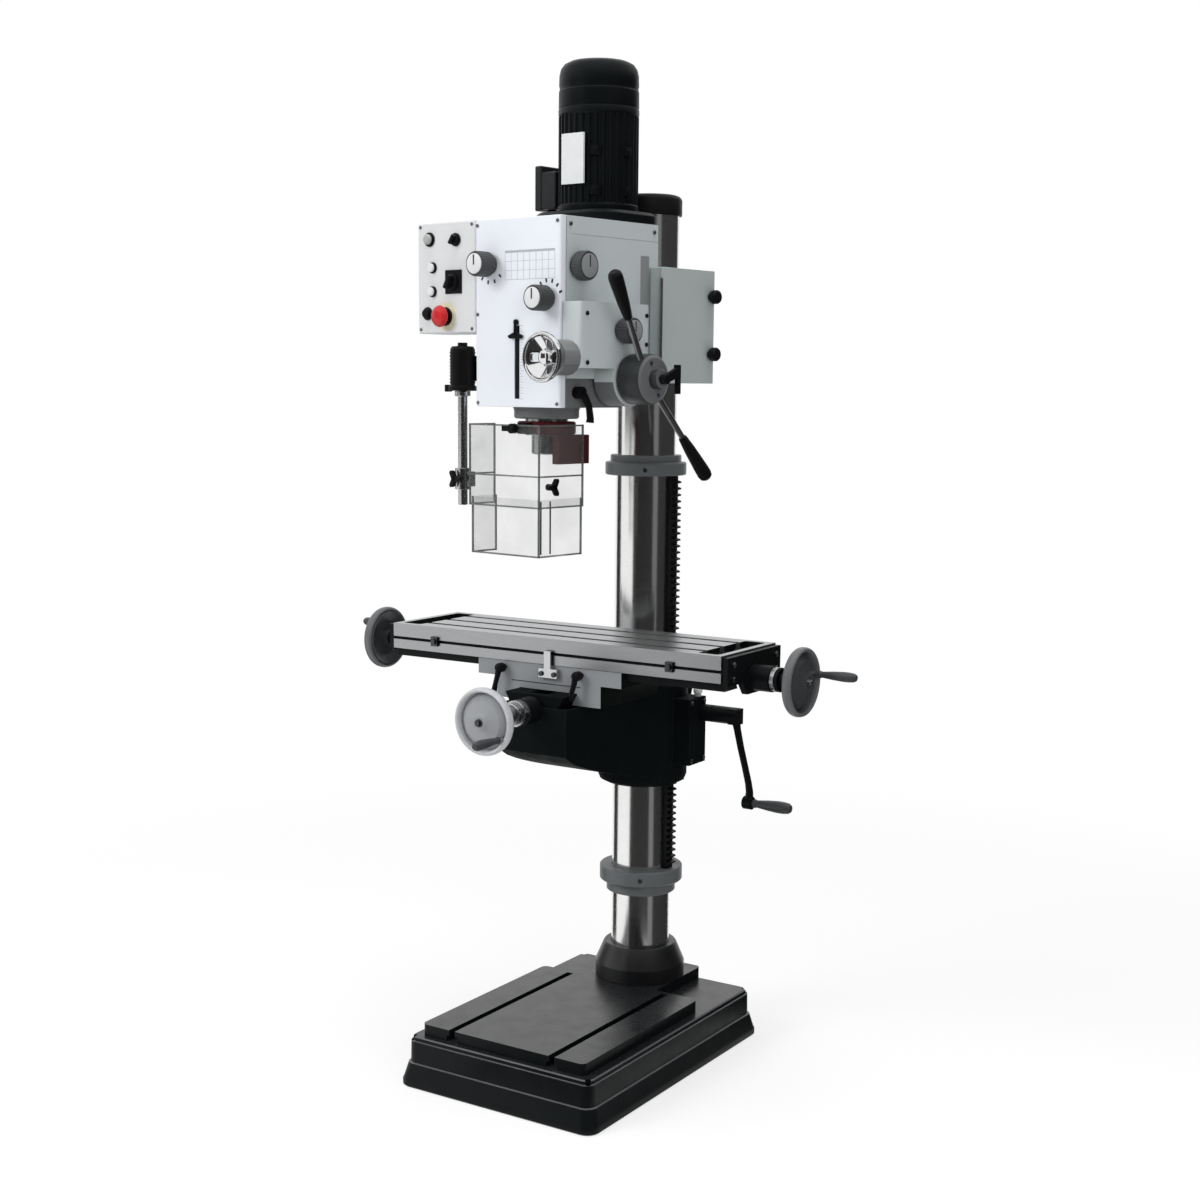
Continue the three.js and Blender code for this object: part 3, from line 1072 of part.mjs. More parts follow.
function buildSleeve() {
  const y = SPINDLE_Y;
  const star = gearOutline(SPLINE_TEETH, SPLINE.r * SPLINE.growShare, SPLINE.m * SPLINE.growShare, 0,
      SPLINE_SHARES.space,
    SPLINE_SHARES.foot);
  const gear = gearOutline(SLEEVE_TEETH, SLEEVE_TEETH * GEAR_M / 2, GEAR_M, Math.PI / 2);
  const body = join(
    rod('z', SLEEVE.bottom, SLEEVE.top, SLEEVE.r, [0, y]),
    plate('z', TRAIN.lowFrom, TRAIN.lowTo, shift(gear, 0, y)));
  return cut(body, plate('z', SLEEVE.bottom - OVER, SLEEVE.top + OVER, shift(star, 0, y)));
}

function buildLayshaft() {
  const { y, r, foot, top } = LAY;
  const small = gearOutline(LAY_SMALL_TEETH, LAY_SMALL_TEETH * GEAR_M / 2, GEAR_M,
      -Math.PI / 2 + Math.PI / LAY_SMALL_TEETH);
  const big = gearOutline(LAY_BIG_TEETH, LAY_BIG_TEETH * GEAR_M / 2, GEAR_M, Math.PI / 2);
  return join(
    plate('z', TRAIN.lowFrom - TRAIN.proud, TRAIN.lowTo + TRAIN.proud, shift(small, 0, y)),
    plate('z', TRAIN.highFrom, TRAIN.highTo, shift(big, 0, y)),
    rod('z', SHELF.z0 + foot, top, r, [0, y], SEG_S));
}

function buildRotor() {
  const y = MOTOR_Y;
  const r = ROTOR;
  const [disc, discTop, bladeFoot, bladeTop,
      shaftTop] = FAN_SHARES.map((t) => MOTOR_BODY_Z + t * MOTOR.cover);
  const pinion = gearOutline(MOTOR_TEETH, MOTOR_TEETH * GEAR_M / 2, GEAR_M,
      -Math.PI / 2 + Math.PI / MOTOR_TEETH);
  const blade = box(r.bladeFrom, r.bladeTo, y - r.bladeHalf, y + r.bladeHalf, bladeFoot, bladeTop);
  const blades = Array.from({ length: FAN_BLADES }, (_, i) => turn(blade, 'z', 360 * i / FAN_BLADES,
      [0, y, 0]));
  return join(
    plate('z', TRAIN.highFrom - 2 * TRAIN.proud, TRAIN.highTo + 2 * TRAIN.proud, shift(pinion, 0, y)),
    rod('z', TRAIN.highFrom - r.shaftLow, shaftTop, r.shaftR, [0, y], SEG_S),
    rod('z', MOTOR_FLANGE_Z + r.above, MOTOR_BODY_Z - r.below, r.r, [0, y]),
    rod('z', disc, discTop, r.fanR, [0, y]),
    blades);
}

// Motor
function buildMotorBody() {
  const m = MOTOR;
  const y = MOTOR_Y;
  const x = m.flangeHalf;
  const y0 = y - m.flangeFront;
  const y1 = y + m.flangeBack;
  const e = m.edge;
  const z = HEAD_TOP + GAP;
  const fins = gearOutline(MOTOR_FINS_TEETH, m.r - m.fin, m.fin, 0, 1, 1);
  const body = join(
    casting([[z, -x, x, y0, y1, m.corner], [MOTOR_FLANGE_Z - e, -x, x, y0, y1, m.corner],
      [MOTOR_FLANGE_Z, -x + e, x - e, y0 + e, y1 - e, m.corner - e]], 4),
    plate('z', MOTOR_FLANGE_Z - WELD, MOTOR_BODY_Z - m.ring + OVER, shift(fins, 0, y)),
    rod('z', MOTOR_BODY_Z - m.ring, MOTOR_BODY_Z, m.r - OVER, [0, y], SEG_L));
  return cut(body,
    rod('z', MOTOR_FLANGE_Z - m.floor, MOTOR_BODY_Z + OVER, m.bore, [0, y]),
    hole('z', z - OVER, MOTOR_FLANGE_Z, ROTOR.shaftR, [0, y]));
}

function buildFanCover() {
  const r = MOTOR.r;
  const c = COWL;
  const z = MOTOR_BODY_Z + GAP;
  const top = MOTOR_TOP;
  return turned([[r - c.foot, z], [r - OVER, z], [r - c.slope / 5, top - c.shoulder],
      [r - c.slope, top - c.slopeIn],
    [r - c.topIn, top], [0, top], [0, top - c.skin], [r - c.topIn - OVER, top - c.skin],
    [r - c.slope - c.skin, top - c.inner], [r - c.foot - OVER, top - c.shoulder - OVER], [r - c.foot, z]],
    'z', [0, MOTOR_Y, 0], SEG_L);
}

function buildTerminalBox() {
  const t = TERMINAL;
  const x1 = -MOTOR.r - GAP;
  const bottom = MOTOR_FLANGE_Z + t.above;
  return join(
    block(bottom, bottom + t.high, t.x0, x1, t.front, t.back, t.corner),
    t.glandY.map((y) => rod('z', bottom - t.glandLow, bottom + WELD, t.glandR, [t.glandX, y], SEG_S)));
}

// Boxes and their controls
function buildControlBox() {
  const y = PLATE_FACE;
  const x1 = -HEAD.half - GAP;
  const body = join(
    hollowBox(CONTROL, x1),
    rod('y', y - STOP.bezel, y + OVER, STOP.bezelR, [STOP.x, STOP.z]),
    CONTROL_BUTTONS.map(([x, z]) => rod('y', y - BUTTON.out, y + OVER, BUTTON.r, [x, z], SEG_S)));
  return cut(body,
    hole('y', y - OVER, y + SWITCH.deep, SWITCH.stem, [SWITCH.x, SWITCH.z]),
    hole('y', y - STOP.bezel - OVER, y + SWITCH.deep, STOP.stemR, [STOP.x, STOP.z]));
}

function buildElectricBox() {
  const f = ELECTRIC_FOOT;
  const x = COLUMN.r + CLAMP.wall + f.gap;
  return join(hollowBox(ELECTRIC, ELECTRIC.x1), box(x, ELECTRIC.x0 + WELD, f.front, f.back, f.bottom, f.top));
}

function buildElectricDoor() {
  const e = ELECTRIC;
  const d = DOOR;
  const x0 = e.x1 + GAP;
  const x1 = x0 + d.thick;
  const y0 = e.front - e.lip;
  const knob = [[0, 0], [d.knobNeckR, 0], [d.knobNeckR, d.knobNeck], [d.knobR, d.knobNeck + OVER],
      [d.knobR, d.knobOut],
    [0, d.knobOut]];
  return join(
    box(x0, x1, y0, e.back, e.bottom, e.top),
    rod('z', e.bottom + d.hingeIn, e.top - d.hingeIn, d.hingeR, [x0 + d.hingeOut, y0], SEG_S),
    d.knobZ.map((z) => turned(knob, 'x', [x1 - OVER, d.knobY, z], SEG_GRIP)));
}

function buildStopButton() {
  const s = STOP;
  const y = PLATE_FACE;
  return join(
    turned([[0, -s.out], [s.capFaceR, -s.out], [s.capR, -s.high], [s.capR, -s.low], [s.neckR, -s.from],
    [0, -s.from]],
      'y', [s.x, y, s.z]),
    rod('y', y - s.from - OVER, y + s.deep, s.stemR, [s.x, s.z], SEG_S));
}

function buildQuillLock() {
  const q = QUILL_LOCK;
  const x = CHIN.half + GAP;
  const w = q.wide;
  const e = q.ease;
  const arm = [[-w, w], [w + e, q.barTop], [q.out, e], [q.out, -q.low], [q.out - q.bar, -q.low - e],
    [q.out - q.bar - e, -w - e]];
  return join(
    rod('x', x, x + q.long, q.r, [q.y, q.z], SEG_S),
    plate('x', x + q.from, x + q.to, shift(arm, q.y, q.z)));
}

function buildQuillCollar() {
  const y = SPINDLE_Y;
  const z = QUILL.bottom;
  const c = COLLAR;
  const e = COLLAR_EAR;
  const body = join(
    rod('z', z + c.low, z + c.high, c.r, [0, y], SEG_L),
    box(c.blockX0, c.blockX1, y + c.blockY0, y + c.blockY1, z - c.blockLow, z + c.blockTop),
    box(-e.half, e.half, y - e.out, y - e.into, z + e.low, z + e.high));
  return cut(body,
    rod('z', z - c.blockLow - OVER, z + c.high + OVER, QUILL.r + GAP, [0, y], SEG_L),
    rod('y', y - e.out - OVER, y - e.screwIn, e.screwR, [0, z + e.screwZ], SEG_S));
}

// Guard
function buildGuardHousing() {
  const g = GUARD;
  const at = [g.x, g.y];
  const skirt = g.bottom + g.foot;
  const body = join(
    rod('z', skirt, g.top, g.r, at),
    rod('z', g.top - WELD, g.top + g.lid, g.lidR, at, SEG_S),
    box(g.x, -HEAD.half - GAP, g.armFront, g.armBack, g.armBottom, g.armTop),
    rod('z', g.bottom + OVER, skirt + OVER, g.footR, at),
    box(g.x - g.leverOut, g.x, g.y - g.leverHalf, g.y + g.leverHalf, g.bottom + OVER, skirt + OVER));
  return cut(body, hole('z', g.bottom - OVER, g.top - g.blind, g.rodR, at, SEG_M));
}

function buildGuardRod() {
  const g = GUARD;
  return join(
    rod('z', g.rodEnd, g.top - g.blind - OVER, g.rodR, [g.x, g.y]),
    rod('z', g.bottom - g.stopHigh, g.bottom + OVER / 2, g.stopR, [g.x, g.y]));
}

function shieldWall(inset, z0, z1) {
  const s = SHIELD;
  const t = inset + s.thick;
  return plate('z', z0, z1, [[s.x0 + inset, s.left], [s.x0 + inset, s.front + inset],
      [s.x1 - inset, s.front + inset],
    [s.x1 - inset, s.right], [s.x1 - t, s.right], [s.x1 - t, s.front + t], [s.x0 + t, s.front + t],
    [s.x0 + t, s.left]]);
}

function buildShieldUpper() {
  const s = SHIELD;
  const { x, y, rodR } = GUARD;
  const body = join(shieldWall(0, s.bottom, s.top),
    rod('z', s.clampBottom, s.clampTop, s.clampR, [x, y]),
    box(x, s.x0 + s.thick - OVER, y + s.armFrom, y + s.armTo, s.clampBottom + s.armIn, s.clampTop - s.armIn));
  return cut(body, rod('z', s.clampBottom - OVER, s.clampTop + OVER, rodR + GAP, [x, y]));
}

function buildShieldLower() {
  const s = SHIELD;
  return shieldWall(s.thick + s.slip, s.lowBottom, s.bottom + s.lap);
}

function build() {
  const part = new THREE.Group();
  part.name = 'drill_press';
  const add = (group, ...items) => items.forEach(([name, body, material]) => group.add(mesh(name, body,
      material)));

  add(part,
    ['base', buildBase(), 'cast'],
    ['column_foot', buildFoot(), 'cast'],
    ['column', buildColumn(), 'chrome'],
    ['column_cap', buildCap(), 'black'],
    ['collar_lower', buildCollar(COLLAR_LOW, COLLAR_LOW.bottom, -1), 'grey'],
    ['collar_upper', buildCollar(COLLAR_UP, COLLAR_UP_Z, 1), 'grey'],
    ['lift_rack', buildRack(), 'steel'],
    ['knee', buildKnee(), 'cast'],
    ['knee_clamp_lever', buildKneeClamp(), 'black'],
    ['lift_pinion', buildLiftPinion(), 'steel'],
    ['lift_crank', buildCrank(), 'black'],
    ['crank_grip', buildCrankGrip(), 'plastic'],
    ['saddle', buildSaddle(), 'grey'],
    ['cross_screw', buildCrossScrew(), 'steel'],
    ['cross_wheel', buildCrossWheel(), 'chrome'],
    ['cross_wheel_grip', wheelGrip('y', CROSS.wheelY, -1, WHEEL_GRIP.crossHigh, CROSS_PIN), 'plastic'],
    ['saddle_lock_left', buildLock(LOCK.x[0]), 'black'],
    ['saddle_lock_right', buildLock(LOCK.x[1]), 'black'],
    ['table_stop_block', buildStopBlock(), 'steel'],
    ['table', buildTable(), 'steel'],
    ['table_screw', buildTableScrew(), 'steel'],
    ['bracket_left', buildBracket(-1), 'black'],
    ['bracket_right', buildBracket(1), 'black'],
    ['wheel_left', buildTableWheel(-1), 'chrome'],
    ['wheel_right', buildTableWheel(1), 'chrome'],
    ['wheel_grip_left', wheelGrip('x', -TABLE_WHEEL_X, -1, WHEEL_GRIP.high, pinPlace(-1)), 'plastic'],
    ['wheel_grip_right', wheelGrip('x', TABLE_WHEEL_X, 1, WHEEL_GRIP.high, pinPlace(1)), 'plastic']);

  const head = new THREE.Group();
  const k = KNOBS;
  const off = KNOB_FORM.standOff;
  head.name = 'head';
  head.position.z = HEAD_Z;
  head.rotation.z = THREE.MathUtils.degToRad(HEAD_SWING);
  part.add(head);
  add(head,
    ['head_casing', buildHeadCasing(), 'grey'],
    ['front_plate', buildFrontPlate(), 'white'],
    ['feed_case', buildFeedCase(), 'grey'],
    ['motor_body', buildMotorBody(), 'black'],
    ['motor_fan_cover', buildFanCover(), 'plastic'],
    ['motor_rotor', buildRotor(), 'steel'],
    ['terminal_box', buildTerminalBox(), 'plastic'],
    ['layshaft', buildLayshaft(), 'steel'],
    ['drive_sleeve', buildSleeve(), 'steel'],
    ['quill', buildQuill(), 'steel'],
    ['spindle', buildSpindle(), 'steel'],
    ['quill_collar', buildQuillCollar(), 'maroon'],
    ['feed_hub', buildFeedHub(), 'dark'],
    ['feed_lever_front', buildFeedLever(0), 'black'],
    ['feed_lever_back', buildFeedLever(180), 'black'],
    ['feed_clutch_lever', buildClutchLever(), 'black'],
    ['fine_feed_wheel', buildFineWheel(), 'chrome'],
    ['feed_worm_wheel', buildWormWheel(), 'brass'],
    ['speed_knob_left', knobWithStem('y', [k.left.x, PLATE_FACE - off, k.left.z], k.left, -1), 'plastic'],
    ['speed_knob_right', knobWithStem('y', [k.right.x, PLATE_FACE - off, k.right.z], k.right, -1), 'plastic'],
    ['range_knob', knobWithStem('x', [HEAD.half + off, k.range.y, k.range.z], k.range, 1), 'plastic'],
    ['feed_knob', knobWithStem('x', [CASE.x1 + off, k.feed.y, k.feed.z], k.feed, 1), 'plastic'],
    ['quill_lock_lever', buildQuillLock(), 'black'],
    ['control_box', buildControlBox(), 'grey'],
    ['mains_switch', knobWithStem('y', [SWITCH.x, PLATE_FACE - SWITCH.gap, SWITCH.z], SWITCH, -1), 'plastic'],
    ['stop_button', buildStopButton(), 'red'],
    ['electric_box', buildElectricBox(), 'grey'],
    ['electric_door', buildElectricDoor(), 'grey'],
    ['guard_housing', buildGuardHousing(), 'black'],
    ['guard_rod', buildGuardRod(), 'steel'],
    ['guard_shield_upper', buildShieldUpper(), 'clear'],
    ['guard_shield_lower', buildShieldLower(), 'clear']);
  return part;
}

const drillPress = build();
export default drillPress;
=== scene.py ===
"""Floor-standing geared head drill press with a cross table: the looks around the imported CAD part.

Lengths are millimetres in the row frame: x to the right, y away from the operator, z up from the floor.
Pieces of the head are drawn in the head's own frame, which is swung round the column by HEAD_SWING degrees.
A box is two x, two y and two z. The profile of a turned piece is pairs of radius and place on its axis.
"""

import json
import math

import bmesh
import bpy
from mathutils import Matrix, Vector


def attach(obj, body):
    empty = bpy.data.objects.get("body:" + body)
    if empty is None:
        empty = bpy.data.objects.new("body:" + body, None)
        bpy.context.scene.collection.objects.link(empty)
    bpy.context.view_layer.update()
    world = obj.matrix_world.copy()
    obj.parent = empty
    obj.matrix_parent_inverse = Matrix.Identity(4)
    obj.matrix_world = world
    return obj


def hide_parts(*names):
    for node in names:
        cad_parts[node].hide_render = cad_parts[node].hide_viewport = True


MM = 0.001
HEAD_SWING = -8.0
HEAD = Matrix.Rotation(math.radians(HEAD_SWING), 4, "Z")
STAND = Matrix.Identity(4)
AXIS = (0, 0)

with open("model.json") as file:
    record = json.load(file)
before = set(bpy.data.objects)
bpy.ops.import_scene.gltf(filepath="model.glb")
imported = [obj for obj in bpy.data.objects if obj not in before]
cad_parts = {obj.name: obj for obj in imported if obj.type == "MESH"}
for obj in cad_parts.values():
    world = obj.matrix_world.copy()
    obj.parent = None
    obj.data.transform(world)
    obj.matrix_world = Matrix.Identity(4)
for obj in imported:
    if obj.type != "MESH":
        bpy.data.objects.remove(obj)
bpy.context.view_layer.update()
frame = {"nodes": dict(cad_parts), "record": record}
NODE_BODY = {n: b for b, nodes in frame["record"]["behaviour"]["bodies"].items() for n in nodes}


class Span:
    """The box of a CAD node in millimetres, to a tenth, in the frame that place sets."""

    def __init__(self, node, place=STAND):
        back = place.inverted()
        spots = [back @ v.co / MM for v in frame["nodes"][node].data.vertices]
        lows = [round(min(spot[k] for spot in spots), 1) for k in range(3)]
        highs = [round(max(spot[k] for spot in spots), 1) for k in range(3)]
        self.x0, self.y0, self.z0 = lows
        self.x1, self.y1, self.z1 = highs


# Materials: scales of the noise, then depths of the relief in metres
CLOUD, DUST, PATCH, STAIN, EDGE_PATCH, TIP, MOTTLE, SMEAR = 9, 420, 28, 7, 90, 40, 120, 60
PEEL_GRAIN, SPARK_GRAIN, HAZE, SCUFF, RIPPLE = 260, 900, 14, 11, 30
PEEL_DEEP, TOOL_DEEP, SPARK_DEEP, SHEET_DEEP = 0.0004, 0.0003, 0.0002, 0.0005
# Reach and share of the bright edges: rubbed wear and a painted edge highlight in one
WEAR_SHEEN_REACH, WEAR_SHEEN_SHARE = 1.3, 0.7


def put(value, socket):
    """Links another node's output to a socket, or sets its number or colour."""
    if hasattr(value, "node"):
        socket.id_data.links.new(value, socket)
    else:
        socket.default_value = value


def add_node(tree, kind, *first, **named):
    """A shader node with its first inputs in order and others by name."""
    node = tree.nodes.new("ShaderNode" + kind)
    for value, socket in zip(first, node.inputs):
        put(value, socket)
    for key, value in named.items():
        put(value, node.inputs[key.replace("_", " ")])
    return node


def operate(tree, kind, operation, *inputs):
    """The value of a math node."""
    node = add_node(tree, kind, *inputs)
    node.operation = operation
    return node.outputs["Value"]


def shade(colour, k):
    return tuple(min(1.0, c * k) for c in colour)


class Look:
    """A node material: colour, roughness and relief come from noise in object space."""

    def __init__(self, name):
        self.material = bpy.data.materials.new(name)
        self.material.use_nodes = True
        self.tree = self.material.node_tree
        self.shader = self.tree.nodes["Principled BSDF"]
        self.place = self.node("TexCoord").outputs["Object"]

    def node(self, kind, *first, **named):
        return add_node(self.tree, kind, *first, **named)

    def show(self, **results):
        """Puts the finished colour, roughness and the like on the shader."""
        for key, value in results.items():
            put(value, self.shader.inputs[key.replace("_", " ")])
        return self.material

    def noise(self, scale, stretch=(1, 1, 1), detail=4.0, rough=0.55):
        moved = self.node("Mapping", Vector=self.place, Scale=stretch).outputs["Vector"]
        return self.node("TexNoise", Vector=moved, Scale=scale, Detail=detail, Roughness=rough).outputs["Fac"]

    def ramp(self, fac, stops):
        n = self.node("ValToRGB", Fac=fac)
        for element, (at, colour) in zip(n.color_ramp.elements, stops):
            element.position = at
            element.color = (*colour, 1)
        return n.outputs["Color"]

    def spread(self, fac, low, high, a=0.3, b=0.7):
        """Values of fac from a to b become low to high."""
        return self.node("MapRange", fac, a, b, low, high).outputs["Result"]

    def bump(self, height, strength, distance):
        return self.node("Bump", Height=height, Strength=strength, Distance=distance).outputs["Normal"]

    def mix(self, fac, a, b):
        n = self.node("Mix", fac)
        n.data_type = "RGBA"
        for value, socket in ((a, n.inputs[6]), (b, n.inputs[7])):
            put((*value, 1) if isinstance(value, tuple) else value, socket)
        return n.outputs[2]

    def wear_and_sheen(self, colour, bright):
        """Bright edges, rubbed wear that is also a painted edge highlight: where a normal rounded over the
        reach leaves the true one; noise breaks them up.
        """
        true = self.node("NewGeometry").outputs["Normal"]
        soft = self.node("Bevel", Radius=WEAR_SHEEN_REACH * MM)
        soft.samples = 4
        turn = operate(self.tree, "VectorMath", "DOT_PRODUCT", true, soft.outputs["Normal"])
        mask = self.spread(turn, WEAR_SHEEN_SHARE, 0.0, 0.72, 0.97)
        patchy = self.spread(self.noise(EDGE_PATCH), 0.3, 1.0, 0.4, 0.6)
        return self.mix(operate(self.tree, "Math", "MULTIPLY", mask, patchy), colour, bright)


def paint(name, colour, rough=0.4, vary=0.06, peel=0.12, gloss=0.5, worn_and_lit=None):
    """Sprayed or brushed enamel: faint cloudy colour, orange peel relief and rubbed edges whose bright colour
    is also a painted edge highlight.
    """
    k = Look(name)
    cloud = k.ramp(k.noise(CLOUD, detail=6), [(0.3, shade(colour, 1 - vary)), (0.7, shade(colour, 1 + vary))])
    specks = k.spread(k.noise(DUST, detail=2), 0.0, 0.35, 0.56, 0.75)
    dusty = k.mix(specks, cloud, shade(colour, 1 - 2 * vary))
    return k.show(
        Base_Color=k.wear_and_sheen(dusty, worn_and_lit) if worn_and_lit else dusty,
        Roughness=k.spread(k.noise(PATCH, detail=5), rough * 0.8, rough * 1.2),
        Normal=k.bump(k.noise(PEEL_GRAIN, detail=2), peel, PEEL_DEEP), Specular_IOR_Level=gloss)


def metal(name, colour, rough=0.3, stretch=(1, 1, 1), scale=300, vary=0.12, relief=0.08, stain=0.12):
    """Bare metal with tool marks drawn out along one direction, and faint stains."""
    k = Look(name)
    marks = k.noise(scale, stretch, detail=5, rough=0.65)
    base = k.ramp(marks, [(0.25, shade(colour, 1 - vary)), (0.75, shade(colour, 1 + vary))])
    stains = k.spread(k.noise(STAIN, detail=6), 0.0, stain, 0.5, 0.72)
    return k.show(
        Base_Color=k.mix(stains, base, shade(colour, 0.55)),
        Roughness=k.spread(marks, rough * 0.75, rough * 1.3),
        Normal=k.bump(marks, relief, TOOL_DEEP), Metallic=1.0)


def moulded(name, colour, rough=0.45, relief=0.18, vary=0.1, gloss=0.4):
    """Moulded plastic with a fine spark-eroded grain."""
    k = Look(name)
    return k.show(
        Base_Color=k.ramp(k.noise(TIP), [(0.3, shade(colour, 1 - vary)), (0.7, shade(colour, 1 + vary))]),
        Roughness=k.spread(k.noise(MOTTLE), rough * 0.8, rough * 1.2),
        Normal=k.bump(k.noise(SPARK_GRAIN, detail=3), relief, SPARK_DEEP), Specular_IOR_Level=gloss)


def clear_sheet(name, tint, alpha, rough=0.08):
    """Clear polycarbonate: thin haze with rubbed patches; the sheet lets the scene through."""
    k = Look(name)
    return k.show(
        Base_Color=k.ramp(k.noise(HAZE), [(0.35, tint), (0.7, shade(tint, 0.86))]),
        Roughness=k.spread(k.noise(SMEAR, detail=6), rough, rough * 3),
        Alpha=k.spread(k.noise(SCUFF, detail=7), alpha * 0.7, alpha * 1.5),
        Normal=k.bump(k.noise(RIPPLE), 0.05, SHEET_DEEP))


# The last colour of a paint is its bright edge colour: rubbed wear and a painted edge highlight in one
BLACK_ENAMEL = paint("black_enamel", (0.006, 0.0075, 0.008), 0.34, 0.15, 0.2, 0.1, (0.10, 0.105, 0.11))
KNEE_ENAMEL = paint("knee_enamel", (0.005, 0.007, 0.0075), 0.6, 0.15, 0.2, 0.03, (0.045, 0.05, 0.052))
FOOT_ENAMEL = paint("foot_enamel", (0.006, 0.0065, 0.0075), 0.4, 0.15, 0.25, 0.8, (0.05, 0.052, 0.055))
# Glossier paint for the base's level top faces; its lighter colour than the black enamel is a painted sheen
DECK_SHEEN_ENAMEL = paint("deck_sheen_enamel", (0.016, 0.017, 0.019), 0.28, 0.08, 0.06, 0.5)
# A lighter grey for the skirt's upward sloping ledges: a painted highlight
LEDGE_HIGHLIGHT = paint("ledge_highlight", (0.10, 0.105, 0.11), 0.35, 0.2, 0.1, 0.5)
HEAD_GREY = paint("head_grey", (0.52, 0.565, 0.575), 0.42, 0.02, 0.14, 0.3, (0.64, 0.68, 0.68))
PANEL_WHITE = paint("panel_white", (0.78, 0.81, 0.86), 0.35, 0.015, 0.05, 0.3)
BOX_GREY = paint("box_grey", (0.66, 0.67, 0.68), 0.45, 0.02, 0.15, 0.3, (0.75, 0.76, 0.76))
DOOR_GREY = paint("door_grey", (0.42, 0.465, 0.46), 0.42, 0.02, 0.15, 0.3, (0.56, 0.59, 0.59))
COLLAR_GREY = paint("collar_grey", (0.12, 0.13, 0.135), 0.4, 0.08, 0.25, 0.3, (0.3, 0.31, 0.32))
HUB_GREY = paint("hub_grey", (0.032, 0.035, 0.036), 0.42, 0.12, 0.3, 0.3, (0.2, 0.2, 0.2))
HUB_FACE = paint("hub_face", (0.13, 0.135, 0.14), 0.4, 0.08, 0.3, 0.3, (0.3, 0.3, 0.3))
SADDLE_GREY = paint("saddle_grey", (0.25, 0.262, 0.275), 0.35, 0.05, 0.12, 0.3, (0.4, 0.41, 0.42))
WHEEL_GREY = paint("wheel_grey", (0.045, 0.048, 0.052), 0.36, 0.1, 0.3, 0.3, (0.3, 0.3, 0.3))
WHEEL_RIM = paint("wheel_rim", (0.12, 0.125, 0.13), 0.34, 0.08, 0.2, 0.4, (0.3, 0.3, 0.3))
WHEEL_SILVER = paint("wheel_silver", (0.30, 0.31, 0.325), 0.34, 0.06, 0.25, 0.4, (0.6, 0.6, 0.6))
SILVER_RIM = paint("silver_rim", (0.52, 0.53, 0.55), 0.3, 0.04, 0.15, 0.4, (0.7, 0.7, 0.7))
HEAD_SHADE = paint("head_shade", (0.20, 0.21, 0.212), 0.45, 0.04, 0.2, 0.3, (0.4, 0.41, 0.41))
# A darker grey of the head paint: painted shade on the head's underside and under the feed case
HEAD_UNDER_SHADE = paint("head_under_shade", (0.15, 0.155, 0.158), 0.48, 0.06, 0.2, 0.2, (0.2, 0.205, 0.21))
SATIN_BLACK = paint("satin_black", (0.005, 0.006, 0.0065), 0.4, 0.15, 0.2, 0.12, (0.04, 0.04, 0.042))
MOTOR_BLACK = paint("motor_black", (0.0045, 0.006, 0.0068), 0.38, 0.15, 0.3, 0.12, (0.03, 0.033, 0.034))
MAROON = paint("maroon", (0.065, 0.007, 0.011), 0.42, 0.12, 0.3, 0.3, (0.1, 0.04, 0.04))
TABLE_STEEL = metal("table_steel", (0.42, 0.43, 0.44), 0.34, (0.04, 1, 1), 420, 0.16, 0.10)
EDGE_STEEL = metal("edge_steel", (0.62, 0.63, 0.64), 0.26, (0.03, 1, 1), 520, 0.1, 0.06)
COLUMN_STEEL = metal("column_steel", (0.84, 0.84, 0.83), 0.17, (0.6, 0.6, 9), 120, 0.08, 0.04, 0.05)
TURNED_STEEL = metal("turned_steel", (0.60, 0.60, 0.61), 0.26, (1, 1, 1), 500, 0.08, 0.05)
SCREW_STEEL = metal("screw_steel", (0.36, 0.36, 0.37), 0.35, (1, 1, 1), 700, 0.12, 0.1)
DARK_STEEL = metal("dark_steel", (0.09, 0.09, 0.095), 0.36, (1, 1, 1), 500, 0.15, 0.1)
CHROME = metal("chrome_plate", (0.80, 0.80, 0.81), 0.10, (1, 1, 1), 200, 0.04, 0.02, 0.03)
BRONZE = metal("bronze", (0.45, 0.32, 0.13), 0.35, (1, 1, 1), 400, 0.15, 0.08)
PLASTIC_BLACK = moulded("plastic_black", (0.006, 0.006, 0.007), 0.42, gloss=0.14)
PLASTIC_DARK = moulded("plastic_dark", (0.018, 0.020, 0.021), 0.42, gloss=0.25)
PLASTIC_GREY = moulded("plastic_grey", (0.05, 0.053, 0.056), 0.42, gloss=0.35)
PLASTIC_WHITE = moulded("plastic_white", (0.70, 0.71, 0.72), 0.35, relief=0.06, vary=0.03)
STOP_RED = moulded("stop_red", (0.50, 0.018, 0.022), 0.28, relief=0.05)
LAMP_GREY = moulded("lamp_grey", (0.40, 0.41, 0.40), 0.15, relief=0.03)
PLATE_GREY = moulded("plate_grey", (0.25, 0.265, 0.27), 0.4, relief=0.05, vary=0.04)
PRINT_GREY = moulded("print_grey", (0.42, 0.43, 0.47), 0.5, relief=0.03, vary=0.04)
STOP_SHIELD = moulded("stop_shield", (0.72, 0.71, 0.52), 0.5, relief=0.03, vary=0.04)
INK = moulded("ink", (0.03, 0.035, 0.045), 0.5, relief=0.03)
SHEET = clear_sheet("clear_sheet", (0.24, 0.25, 0.25), 0.115)
SHEET_EDGE = clear_sheet("clear_sheet_edge", (0.13, 0.14, 0.14), 0.75, 0.15)


# Shapes
def ring_point(axis, centre, r, t, h):
    a, b = centre
    c, s = r * math.cos(t), r * math.sin(t)
    return {"x": (h, a + c, b + s), "y": (a + s, h, b + c), "z": (a + c, b + s, h)}[axis]


